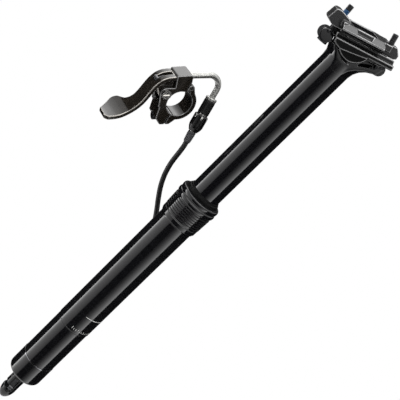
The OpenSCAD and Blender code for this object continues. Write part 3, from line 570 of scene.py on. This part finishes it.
plain = {
    rubber: ["top_out_bumper", "bottom_bumper"],
    bolt_black: ["strap_bolt"],
    gloss_black: ["adjuster_barrel"],
    steel: [
        "cartridge_rod", "rod_piston", "rod_nut", "crank_pin", "valve_pin", "cartridge_tube",
        "cartridge_gland", "cartridge_cap", "floating_piston", "strap_pin", "pivot_screw",
        "pivot_nut", "adjuster_core", "end_ferrule",
    ],
    # The crank sits in the actuator's slot and is dark steel as painted shade, so the slot reads dark.
    dark_steel: [
        "clamp_washers", "front_nut", "rear_nut", "crank", "lever_nipple", "pull_wire", "wire_end",
    ],
    bronze: ["upper_bushing", "lower_bushing", "guide_keys", "lever_bush"],
}
for finish, names in plain.items():
    for name in names:
        dress(name, finish)
forged = [
    ("seat_head", slide_black, 0.5, 8),
    ("actuator_housing", forged_black, 0.35, 8),
    ("lower_cradle", cradle_black, 0.36, 8),
    ("upper_clamp", clamp_black, 0.36, 8),
    ("remote_bracket", remote_black, 0.3, 13),
    ("bar_strap", remote_black, 0.3, 13),
]
for name, finish, square, rounds in forged:
    forge(name, finish, square, rounds)
cable.data.materials.append(jacket)
print("dressed", sum(len(v) for v in plain.values()), "plain and", len(forged), "forged solids")

# %% [markdown]
# ## Turned pieces of the post
#
# Tube, collar, stanchion and end cap come off a lathe, and their long even reflections show every
# flaw. A solid's triangles would smear those reflections, so each of these pieces is spun again
# from its outline of radius and height. The outline's corners are eased first, because a real edge
# is never quite sharp and its thin line of light is what makes metal look like metal.

# %% Lathe
NEARLY_STRAIGHT = 160
EASE_SHARE = 2.2


def eased(outline, size):
    """The outline with each sharp corner rounded off by up to a size in millimetres."""
    soft = [Vector(outline[0])]
    for before, corner, after in zip(outline, outline[1:], outline[2:]):
        corner = Vector(corner)
        into = Vector(before) - corner
        out = Vector(after) - corner
        if into.angle(out) > math.radians(NEARLY_STRAIGHT):
            soft.append(corner)
            continue
        cut = min(size, into.length / EASE_SHARE, out.length / EASE_SHARE)
        first = corner + into.normalized() * cut
        last = corner + out.normalized() * cut
        for t in (0, 0.25, 0.5, 0.75, 1):
            soft.append(first * (1 - t) ** 2 + corner * 2 * t * (1 - t) + last * t**2)
    return [*soft, Vector(outline[-1])]


def piece_from(name, mesh, body, finish, replaced=(), crease=35):
    """Makes an object of a bmesh, with smooth shading up to a crease angle, and lets it ride."""
    bmesh.ops.remove_doubles(mesh, verts=mesh.verts, dist=1e-7)
    bmesh.ops.recalc_face_normals(mesh, faces=mesh.faces)
    data = bpy.data.meshes.new(name)
    mesh.to_mesh(data)
    mesh.free()
    data.shade_smooth()
    data.set_sharp_from_angle(angle=math.radians(crease))
    data.materials.append(finish)
    made = bpy.data.objects.new(name, data)
    bpy.context.scene.collection.objects.link(made)
    even = made.modifiers.new("even_faces", "WEIGHTED_NORMAL")
    even.keep_sharp = True
    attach(made, body)
    if replaced:
        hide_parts(*replaced)
    return made


def thickened(made, depth=0.06):
    """Gives a patch of faces a thickness in millimetres, inward."""
    thick = made.modifiers.new("thick", "SOLIDIFY")
    thick.thickness = depth * MM


def spun(mesh, outline, at=in_post, turns=128, wave=None):
    """Spins an outline about a frame's Z, with a wave in the radius, and gives the rings back."""
    rings = []
    for r, z in outline:
        ring = []
        for k in range(turns if r > 1e-6 else 1):
            a = 2 * math.pi * k / turns
            out = r + (wave(a, z) if wave else 0)
            place = Vector((out * math.cos(a), out * math.sin(a), z)) * MM
            ring.append(mesh.verts.new(at @ place))
        rings.append(ring)
    for low, high in zip(rings, rings[1:]):
        for k in range(turns):
            after = (k + 1) % turns
            foot = [low[k % len(low)], low[after % len(low)]]
            head = [high[after % len(high)], high[k % len(high)]]
            mesh.faces.new(list(dict.fromkeys(foot + head)))
    return rings


def turned(name, outline, body, finish, replaced=(), at=in_post, ease=0.3, wave=None, crease=35):
    """A turned piece from a closed outline that starts and ends at the same point."""
    mesh = bmesh.new()
    spun(mesh, eased(outline, ease), at, wave=wave)
    return piece_from(name, mesh, body, finish, replaced, crease)


# %% Tube, end cap and ring
TUBE_R = 15.8
FOOT_R = 15.45
BORE_R = 14.3
NECK_R = TUBE_R - 0.3
PLUG_R = BORE_R - 0.05
TUBE_TOP = 18
FOOT_Z = -176
LINE_Z = -129
SEAM_Z = FOOT_Z - 0.8
SEAM_R = 15.76
CAP_R = 15.7
CAP_ROUND = 3.5
CAP_HOLE_R = 5
CAP_MOUTH_R = 9
tube_outline = [
    (BORE_R, FOOT_Z + 20),
    (BORE_R, FOOT_Z),
    (FOOT_R, FOOT_Z),
    (FOOT_R, LINE_Z - 0.9),
    (FOOT_R - 0.2, LINE_Z - 0.6),
    (TUBE_R, LINE_Z),
    (TUBE_R, 0),
    (NECK_R, 0.2),
    (NECK_R, TUBE_TOP),
    (BORE_R, TUBE_TOP),
    (BORE_R, FOOT_Z + 20),
]
turned("tube_body", tube_outline, "base", tube_black, ["outer_tube"])
cap_rim = []
for a in (0.4, 0.8, 1.2):
    r = CAP_R - CAP_ROUND + CAP_ROUND * math.sin(a)
    cap_rim.append((r, CAP_Z + CAP_ROUND - CAP_ROUND * math.cos(a)))
cap_outline = [
    (CAP_HOLE_R, FOOT_Z - 4),
    (CAP_HOLE_R, CAP_Z + 4),
    (CAP_MOUTH_R, CAP_Z + 4),
    (CAP_MOUTH_R, CAP_Z),
    (CAP_R - CAP_ROUND, CAP_Z),
    *cap_rim,
    (CAP_R, CAP_Z + CAP_ROUND),
    (CAP_R, SEAM_Z),
    (PLUG_R, SEAM_Z),
    (PLUG_R, FOOT_Z + 8),
    (CAP_HOLE_R, FOOT_Z + 8),
    (CAP_HOLE_R, FOOT_Z - 4),
]
turned("foot_cap", cap_outline, "base", tube_black, ["end_cap"], ease=0.45)
ring_outline = [
    (PLUG_R, FOOT_Z - 0.4),
    (PLUG_R, SEAM_Z),
    (SEAM_R, SEAM_Z),
    (SEAM_R, FOOT_Z),
    (PLUG_R, FOOT_Z),
    (PLUG_R, FOOT_Z - 0.4),
]
turned("seam_ring", ring_outline, "base", ring_metal, ["cap_ring"], ease=0.03)
print("tube from", FOOT_Z, "to", TUBE_TOP, "mm, cap down to", CAP_Z)

# %% [markdown]
# ## Collar and wiper
#
# The collar is the piece that the rider's fingers turn when the post is serviced, so it has a plain
# lip at the foot, six flat ribs for grip and two beads at the top. The ribs are one loop. The
# wiper is the soft lip that sweeps the stanchion clean.

# %% Collar and wiper
SLIDE_R = 13.25
SEAT_R = SLIDE_R + 2.3
SWEEP_R = SLIDE_R + 0.05
COLLAR_H = 31
COLLAR_R = 18.85
LIP_R = 17.2
RIBS = 6
RIB_LOW = 6.5
GROOVE_Z = COLLAR_H - 11.5
RIB_STEP = (GROOVE_Z - RIB_LOW) / RIBS
RIB_GROW = (COLLAR_R - LIP_R - 1.1) / RIBS
RIB_LAND = 0.7
RIB_DEEP = 0.8
BEAD_DEEP = 1.1
collar_ribs = []
for k in range(RIBS):
    r = LIP_R + 0.5 + RIB_GROW * k
    low = RIB_LOW + RIB_STEP * k
    land_end = low + RIB_STEP * RIB_LAND
    floor_end = low + RIB_STEP - 0.2
    collar_ribs += [(r, low), (r, land_end), (r - RIB_DEEP, land_end + 0.2), (r - RIB_DEEP, floor_end)]
beads = []
for middle, tall, out in ((GROOVE_Z + 3.4, 2.1, COLLAR_R), (GROOVE_Z + 7.9, 2.0, COLLAR_R - 0.2)):
    for k in range(9):
        a = math.radians(-80 + 20 * k)
        beads.append((out - BEAD_DEEP + BEAD_DEEP * math.cos(a), middle + tall * math.sin(a)))
collar_outline = [
    (NECK_R, 4),
    (NECK_R, 0),
    (LIP_R - 0.6, 0),
    (LIP_R - 0.3, 1.1),
    (LIP_R + 0.15, 1.5),
    (LIP_R + 0.2, 5),
    (LIP_R - 0.15, 5.4),
    *collar_ribs,
    (COLLAR_R - 1.2, GROOVE_Z),
    (COLLAR_R - 1.2, GROOVE_Z + 1),
    *beads,
    (SEAT_R, COLLAR_H - 1.2),
    (SEAT_R, TUBE_TOP + 0.4),
    (NECK_R, TUBE_TOP + 0.4),
    (NECK_R, 4),
]
turned("collar_ribbed", collar_outline, "base", collar_black, ["collar"], ease=0.2)
wiper_outline = [
    (SWEEP_R, 24),
    (SWEEP_R, 19),
    (SLIDE_R + 2.2, 19),
    (SLIDE_R + 2.2, COLLAR_H - 0.6),
    (SLIDE_R + 1.9, COLLAR_H + 1.2),
    (SLIDE_R + 1.1, COLLAR_H + 1.5),
    (SLIDE_R + 0.7, COLLAR_H + 3),
    (SWEEP_R, COLLAR_H + 3),
    (SWEEP_R, 24),
]
turned("wiper_lip", wiper_outline, "base", rubber, ["wiper_seal"], ease=0.35)
print("collar:", RIBS, "ribs of", round(RIB_STEP, 2), "mm")

# %% [markdown]
# ## Stanchion
#
# The stanchion is the smoothest piece of all, ground and anodised so that the wiper can seal on it.
# It goes up into the neck of the head without a visible joint.

# %% Stanchion
SLIDE_BORE_R = 11.25
SLIDE_LOW, SLIDE_TOP = -38, 174
stanchion_outline = [
    (SLIDE_BORE_R, 0),
    (SLIDE_BORE_R, SLIDE_LOW),
    (SLIDE_R, SLIDE_LOW),
    (SLIDE_R, SLIDE_TOP),
    (SLIDE_BORE_R, SLIDE_TOP),
    (SLIDE_BORE_R, 0),
]
turned("slide_tube", stanchion_outline, "upper", slide_black, ["stanchion"], ease=0.25)
print("stanchion from", SLIDE_LOW, "to", SLIDE_TOP, "mm")

# %% [markdown]
# ## Painted marks
#
# A post carries painted marks that say how deep it has to go into the frame. Here they are a plain
# line and a row of short ticks. Paint has hardly any thickness, so each mark is a patch a few
# hundredths of a millimetre above the tube.

# %% Insertion marks
def painted(mesh, r, low, high, start, stop, at=in_post, step=3):
    """A patch on a tube between two heights in millimetres and two angles in degrees."""
    parts = max(1, round((stop - start) / step))
    rows = []
    for z in (low, high):
        row = []
        for k in range(parts + 1):
            a = math.radians(start + (stop - start) * k / parts)
            row.append(mesh.verts.new(at @ (Vector((r * math.cos(a), r * math.sin(a), z)) * MM)))
        rows.append(row)
    for k in range(parts):
        mesh.faces.new((rows[0][k], rows[0][k + 1], rows[1][k + 1], rows[1][k]))


PAINT_R = TUBE_R + 0.03
RULE_LOW, RULE_HIGH = -110.4, -109.7
RULE_FROM, RULE_TO = 272, 352
TICKS = 12
TICK_FROM = 263
TICK_STEP = 7
TICK_WIDE = 1.8
TICK_Z = LINE_Z + 2.4
TICK_LONG, TICK_SHORT = 2.6, 1.7
mark_mesh = bmesh.new()
painted(mark_mesh, PAINT_R, RULE_LOW, RULE_HIGH, RULE_FROM, RULE_TO)
for k in range(TICKS):
    start = TICK_FROM + TICK_STEP * k
    tall = TICK_LONG if k % 3 == 0 else TICK_SHORT
    painted(mark_mesh, PAINT_R, TICK_Z, TICK_Z + tall, start, start + TICK_WIDE)
marks = piece_from("insertion_marks", mark_mesh, "base", mark_paint)
thickened(marks)
print("insertion marks:", len(marks.data.polygons), "patches")

# %% [markdown]
# ## Bent guide tube
#
# The pull wire leaves the bracket through a polished steel tube, bent to send the cable down the
# bars. A curve with a round bevel bends like the real tube and stays perfectly round, so the
# cable's own function makes it.

# %% Guide tube
GUIDE_D = 5
GUIDE_STEPS = 46
guide_line = [in_noodle @ (Vector((x, 0, 0)) * MM) for x in (-10, 0, NOODLE_OUT - 1)]
for k in range(GUIDE_STEPS + 1):
    a = math.radians(NOODLE_TURN * k / GUIDE_STEPS)
    corner = Vector((NOODLE_OUT + NOODLE_BEND * math.sin(a), 0, NOODLE_BEND * (math.cos(a) - 1)))
    guide_line.append(in_noodle @ (corner * MM))
guide_line.append(on_connector @ Vector((0, 0, 0)))
guide = tube_along("guide_tube", guide_line, GUIDE_D, 8)
guide.data.materials.append(polished)
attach(guide, "remote")
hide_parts("noodle")
print("guide tube bends through", NOODLE_TURN, "degrees")

# %% [markdown]
# ## In-line adjuster
#
# Under the guide tube sits a barrel that is turned by hand to take up slack in the cable: a bright
# cap, a black grooved sleeve, the barrel itself with bright windows, and a ribbed rubber boot on
# the cable. Cap, sleeve and boot are spun, with the sleeve's grooves added as a wave in the radius.
# The windows are thin patches on the barrel.

# %% Cap, sleeve and boot
HOLE_R = 2.6
SPIGOT_R = 4.2
SPIGOT_LOW = -2
CROWN_R = 4.9
crown_shape = [
    (HOLE_R, -1),
    (HOLE_R, SPIGOT_LOW),
    (SPIGOT_R, SPIGOT_LOW),
    (SPIGOT_R, 0),
    (CROWN_R, 0),
    (CROWN_R, 1.9),
    (CROWN_R - 0.5, 2.4),
    (3.7, 2.4),
    (3.2, 1.2),
    (HOLE_R, 1.2),
    (HOLE_R, -1),
]
turned("adjuster_crown", crown_shape, "remote", polished, ["adjuster_cap"], at=on_connector, ease=0.2)

SLEEVE_LOW = -12.6
SLEEVE_R = 4.88
SLEEVE_END_R = 4.6
FLUTES = 32
FLUTE_DEEP = 0.16
FLUTE_LOW, FLUTE_HIGH = -11.8, -0.9


def fluted(angle, height):
    """Fine grooves round the sleeve, run out at both ends."""
    if not FLUTE_LOW < height < FLUTE_HIGH:
        return 0
    return -FLUTE_DEEP * (0.5 + 0.5 * math.cos(FLUTES * angle))


sleeve_steps = [(SLEEVE_R, -12.2 + 1.1 * k) for k in range(11)]
sleeve_shape = [
    (HOLE_R, -6),
    (HOLE_R, SLEEVE_LOW),
    (SLEEVE_END_R, SLEEVE_LOW),
    *sleeve_steps,
    (SLEEVE_END_R, -0.1),
    (SPIGOT_R, -0.1),
    (SPIGOT_R, SPIGOT_LOW),
    (HOLE_R, SPIGOT_LOW),
    (HOLE_R, -6),
]
turned(
    "adjuster_grip",
    sleeve_shape,
    "remote",
    gloss_black,
    ["adjuster_sleeve"],
    at=on_connector,
    ease=0.2,
    wave=fluted,
)

BOOT_RIBS = 5
STEPS_PER_RIB = 8
BOOT_RIB_H = 0.34
BOOT_TOP_R = 3.4
boot_shape = [(0, BOOT_Z), (2.9, BOOT_Z)]
for k in range(BOOT_RIBS * STEPS_PER_RIB):
    crest = 0.5 - 0.5 * math.cos(2 * math.pi * k / STEPS_PER_RIB)
    boot_shape.append((2.8 + 0.012 * k + BOOT_RIB_H * crest, BOOT_Z + 0.8 + 0.175 * k))
boot_shape += [(BOOT_TOP_R, BOOT_Z + 8.4), (BOOT_TOP_R, BOOT_Z + 10), (0, BOOT_Z + 10)]
boot = turned("cable_boot_ribbed", boot_shape, "remote", boot_grey, ["cable_boot"], at=on_connector)
print("adjuster crown, grip and boot")

# %% Barrel windows
WINDOWS = 6
WINDOW_R = 6.02
WINDOW_LOW, WINDOW_HIGH = -17.6, -14.6
WINDOW_FROM, WINDOW_WIDE = 4, 16
window_mesh = bmesh.new()
for k in range(WINDOWS):
    start = WINDOW_FROM + 360 // WINDOWS * k
    stop = start + WINDOW_WIDE
    painted(window_mesh, WINDOW_R, WINDOW_LOW, WINDOW_HIGH, start, stop, on_connector, step=4)
windows = piece_from("barrel_windows", window_mesh, "barrel", polished)
thickened(windows)
print("barrel windows:", WINDOWS)

# %% [markdown]
# ## Lever
#
# The lever is one cold-forged blade in the shape of an S, wide at the thumb and slotted at the top
# for the wire. The blade is lofted: its side line is drawn as a smooth curve, and at each point of
# it the near and far edges come from the lever's plan. A core and two cheeks make the hub under it.
# A bevel then gives the polished edge that runs round the whole, in bright metal that also paints the
# edge's highlight.

# %% Blade line and plan
BLADE_T = 3.4
BLADE_PARTS = 6
CORNER_R = 4.4
blade_points = [
    (6.7, 14.8),
    (3, 14.6),
    (-1.5, 13.8),
    (-6, 11.6),
    (-10, 7.8),
    (-13.4, 3),
    (-16.4, -2),
    (-19.6, -6.8),
    (-23.6, -11),
    (-28.4, -14.6),
    (-33.6, -17.2),
    (-39, -18.8),
    (-44.4, -19.4),
    (-48, -19.3),
]
near_edge = [(-48, -4.6), (-45.4, -7.1), (-36, -7.6), (-30, -7.2), (8, -7.5)]
far_corner = []
for degrees in range(130, 0, -15):
    a = math.radians(degrees)
    far_corner.append((-33.4 + CORNER_R * math.cos(a), 15.2 + CORNER_R * math.sin(a)))
far_edge = [(-48, 6.4), (-47.2, 7.6), *far_corner, (-26.6, 11), (-24, 8.9), (-21, 7.8), (8, 7.5)]


def between(edge, x):
    """The edge's place across the lever at a place along it."""
    for (x0, y0), (x1, y1) in zip(edge, edge[1:]):
        if x <= x1:
            return y0 + (y1 - y0) * (x - x0) / (x1 - x0)
    return edge[-1][1]


blade = smooth_through([Vector((x, z)) for x, z in blade_points], BLADE_PARTS)
print("blade:", len(blade), "stations")

# %% Loft the blade
SLOT_HALF = 2.3
SLOT_FROM, SLOT_TO = -7.6, 5.4


def blade_station(k):
    """One cross-section: four points on top from near to far, and the four below them."""
    here = blade[k]
    along = blade[min(k + 1, len(blade) - 1)] - blade[max(k - 1, 0)]
    under = here + Vector((-along.y, along.x)).normalized() * BLADE_T
    across = (between(near_edge, here.x), -SLOT_HALF, SLOT_HALF, between(far_edge, here.x))
    return [[(p.x, y, p.y) for y in across] for p in (here, under)]


def loft_blade(mesh):
    """The blade's faces between its stations, with the slot left open."""
    stations = []
    for k in range(len(blade)):
        rows = blade_station(k)
        stations.append([[mesh.verts.new(in_remote @ (Vector(p) * MM)) for p in row] for row in rows])
    slotted = [SLOT_FROM < (a.x + b.x) / 2 < SLOT_TO for a, b in zip(blade, blade[1:])]
    for k, cut in enumerate(slotted):
        (top, low), (top2, low2) = stations[k], stations[k + 1]
        for j in (0, 2) if cut else (0, 1, 2):
            mesh.faces.new((top[j], top[j + 1], top2[j + 1], top2[j]))
            mesh.faces.new((low[j + 1], low[j], low2[j], low2[j + 1]))
        for j in (0, 1, 2, 3) if cut else (0, 3):
            mesh.faces.new((top[j], top2[j], low2[j], low[j]))
        if k and cut != slotted[k - 1]:
            mesh.faces.new((top[1], top[2], low[2], low[1]))
    for top, low in (stations[0], stations[-1]):
        for j in range(3):
            mesh.faces.new((top[j], top[j + 1], low[j + 1], low[j]))


def plate_between(mesh, outline, low, high, at):
    """A flat outline in X and Z given thickness along Y."""
    sides = [[mesh.verts.new(at @ (Vector((x, y, z)) * MM)) for x, z in outline] for y in (low, high)]
    mesh.faces.new(sides[0])
    mesh.faces.new(list(reversed(sides[1])))
    for k in range(len(outline)):
        after = (k + 1) % len(outline)
        mesh.faces.new((sides[0][k], sides[0][after], sides[1][after], sides[1][k]))


HUB_R = 5.4
HUB_HALF = 4.8
EDGE_W = 0.55
lever_mesh = bmesh.new()
loft_blade(lever_mesh)
hub = []
for degrees in range(180, 361, 12):
    a = math.radians(degrees)
    hub.append((HUB_R * math.cos(a), HUB_R * math.sin(a)))
hub_core = [*hub, (6.3, 4), (6.3, 8.8), (-4.2, 8.6), (-7.6, 5.8)]
hub_cheek = [*hub, (6.3, 4), (6.4, 12.2), (-4.5, 9), (-8.2, 6.2)]
plate_between(lever_mesh, hub_core, -SLOT_HALF - 0.2, SLOT_HALF + 0.2, in_remote)
for low, high in ((-HUB_HALF, -SLOT_HALF - 0.1), (SLOT_HALF + 0.1, HUB_HALF)):
    plate_between(lever_mesh, hub_cheek, low, high, in_remote)
lever = piece_from("thumb_blade", lever_mesh, "thumb_lever", lever_black, ["lever"], crease=40)
# The bevel faces are bright metal: a polished edge, and a painted highlight line round the lever.
lever.data.materials.append(cut_edge_and_highlight)
lever_edge = lever.modifiers.new("edges", "BEVEL")
lever_edge.width = EDGE_W * MM
lever_edge.segments = 3
lever_edge.limit_method = "ANGLE"
lever_edge.angle_limit = math.radians(50)
lever_edge.harden_normals = True
lever_edge.material = 1
print("lever:", len(lever.data.polygons), "faces before its bevel")

# %% [markdown]
# ## Strap round the hank
#
# A strip of hook-and-loop tape holds the folded cable. It goes once round the runs and a little
# further, so its tail lies on its first layer.

# %% Tape
TAPE_T = 1.1
TAPE_H = 9
TAPE_SOFT = 2.6
TAPE_GAP = 0.35
TAIL = 14
LAP = TAPE_T * 1.05
LAP_FROM, LAP_ON = 24, 28
CLIMB_STATIONS = 11
tape_x = FOLD_R - HANK_PINCH + CABLE_D / 2 + TAPE_GAP + TAPE_T / 2
tape_low = HANK_Y - CABLE_D / 2 - TAPE_GAP - TAPE_T / 2
tape_high = HANK_Y + HANK_PITCH * (HANK_LOOPS + 0.5) + CABLE_D / 2 + TAPE_GAP + TAPE_T / 2


def tape_corner(side_x, y, start):
    """Points round one corner of the tape's path, and the way out at each."""
    middle = Vector((side_x * (tape_x - TAPE_SOFT), y))
    turns = [math.radians(start + 15 * k) for k in range(7)]
    return [(middle, Vector((math.cos(a), math.sin(a)))) for a in turns]


def tape_lift(station):
    """How far out the tape lies: it climbs before its second lap, which lies on the first."""
    if station >= LAP_ON:
        return LAP
    return LAP * max(0, station - LAP_FROM) / CLIMB_STATIONS


low_y, high_y = tape_low + TAPE_SOFT, tape_high - TAPE_SOFT
tape_path = [
    *tape_corner(1, low_y, -90),
    *tape_corner(1, high_y, 0),
    *tape_corner(-1, high_y, 90),
    *tape_corner(-1, low_y, 180),
    *tape_corner(1, low_y, -90),
]
tape_path.append((Vector((tape_x - TAPE_SOFT, low_y + TAIL)), Vector((1, 0))))
tape_mesh = bmesh.new()
tape_turn = spin(math.degrees(HANK_TURN), "Z")
tape_rows = []
for k, (middle, way) in enumerate(tape_path):
    row = []
    for out, z in ((-0.5, -0.5), (0.5, -0.5), (0.5, 0.5), (-0.5, 0.5)):
        flat = middle + way * (TAPE_SOFT + tape_lift(k) + out * TAPE_T)
        place = Vector((flat.x, flat.y, HANK_Z + z * TAPE_H))
        row.append(tape_mesh.verts.new(tape_turn @ (place * MM)))
    tape_rows.append(row)
for row, row2 in zip(tape_rows, tape_rows[1:]):
    for k in range(4):
        tape_mesh.faces.new((row[k], row[(k + 1) % 4], row2[(k + 1) % 4], row2[k]))
tape_mesh.faces.new(tape_rows[0])
tape_mesh.faces.new(list(reversed(tape_rows[-1])))
tape = piece_from("hank_tape", tape_mesh, "remote", webbing, ["hank_tie"])
print("tape:", len(tape_path), "stations round the hank")

# %% [markdown]
# ## Clamp bolts
#
# Two M5 bolts pull the clamp together. Their threads stand up through the clamp, where everyone
# sees them, so the thread is real: a fine grid round the shank whose radius rises and falls once in
# a pitch. A dab of thread locker colours the front one.

# %% Threaded bolts
BOLT_R = 2.5
PITCH = 0.8
THREAD_DEEP = 0.42
THREAD_LOW = -6
THREAD_SIDES = 24
ROWS_PER_PITCH = 6
BOLT_TOP = 12.3
FRONT_GRIP, REAR_GRIP = 18.8, 17.8
HEAD_R = 4.2
HEAD_H = 3
HEAD_SIDES = 48
SOCKET_R = 2
SOCKET_RIM_R = 2.4
SOCKET_DEEP = 1.8
HAIR = 0.001


def threaded(angle, height):
    """How far the thread, or the bolt's narrowed end, lies inside the bolt's full radius."""
    turn = (height / PITCH - angle / (2 * math.pi)) % 1
    cut = THREAD_DEEP * min(1, abs(2 * turn - 1) * 1.25)
    return min(-cut, -0.5 + max(0, BOLT_TOP - height))


def hexagon(rim):
    """A wave that turns a round socket into a hexagon above the height of its rim."""

    def wave(angle, height):
        turn = (angle % (math.pi / 3)) - math.pi / 6
        return SOCKET_R / math.cos(turn) - SOCKET_R if height > rim else 0

    return wave


bolt_mesh = bmesh.new()
thread_long = BOLT_TOP - THREAD_LOW
thread_rows = math.ceil(thread_long / PITCH * ROWS_PER_PITCH)
thread = [(BOLT_R, THREAD_LOW + thread_long * k / thread_rows) for k in range(thread_rows + 1)]
for at, under in ((at_front_bolt, FRONT_GRIP), (at_rear_bolt, REAR_GRIP)):
    rings = spun(bolt_mesh, thread, at, turns=THREAD_SIDES, wave=threaded)
    bolt_mesh.faces.new(rings[-1])
    bolt_mesh.faces.new(list(reversed(rings[0])))
    head_z = -under - HEAD_H
    shank = [
        (0, THREAD_LOW),
        (BOLT_R, THREAD_LOW),
        (BOLT_R, -under),
        (HEAD_R, -under),
        (HEAD_R, head_z),
        (SOCKET_RIM_R, head_z),
    ]
    spun(bolt_mesh, eased(shank, 0.35), at, turns=HEAD_SIDES)
    socket = [
        (SOCKET_RIM_R, head_z),
        (SOCKET_R, head_z + HAIR),
        (SOCKET_R, head_z + SOCKET_DEEP),
        (0, head_z + SOCKET_DEEP),
    ]
    spun(bolt_mesh, socket, at, turns=HEAD_SIDES, wave=hexagon(head_z + HAIR / 2))
LOCK_LOW, LOCK_HIGH = 4.4, 7.8
LOCK_SIDE = 1.2
locked = at_front_bolt.inverted()
for face in bolt_mesh.faces:
    place = locked @ face.calc_center_median() / MM
    if place.xy.length < BOLT_R + 0.5 and LOCK_LOW < place.z < LOCK_HIGH and place.y < LOCK_SIDE:
        face.material_index = 1
bolts = piece_from("saddle_bolts", bolt_mesh, "upper", bolt_black, ["clamp_bolts"], crease=50)
bolts.data.materials.append(thread_lock)
print("bolts:", len(bolts.data.polygons), "faces, pitch", PITCH, "mm")

# %% [markdown]
# ## Last lines
#
# The view layer is brought up to date.

bpy.context.view_layer.update()
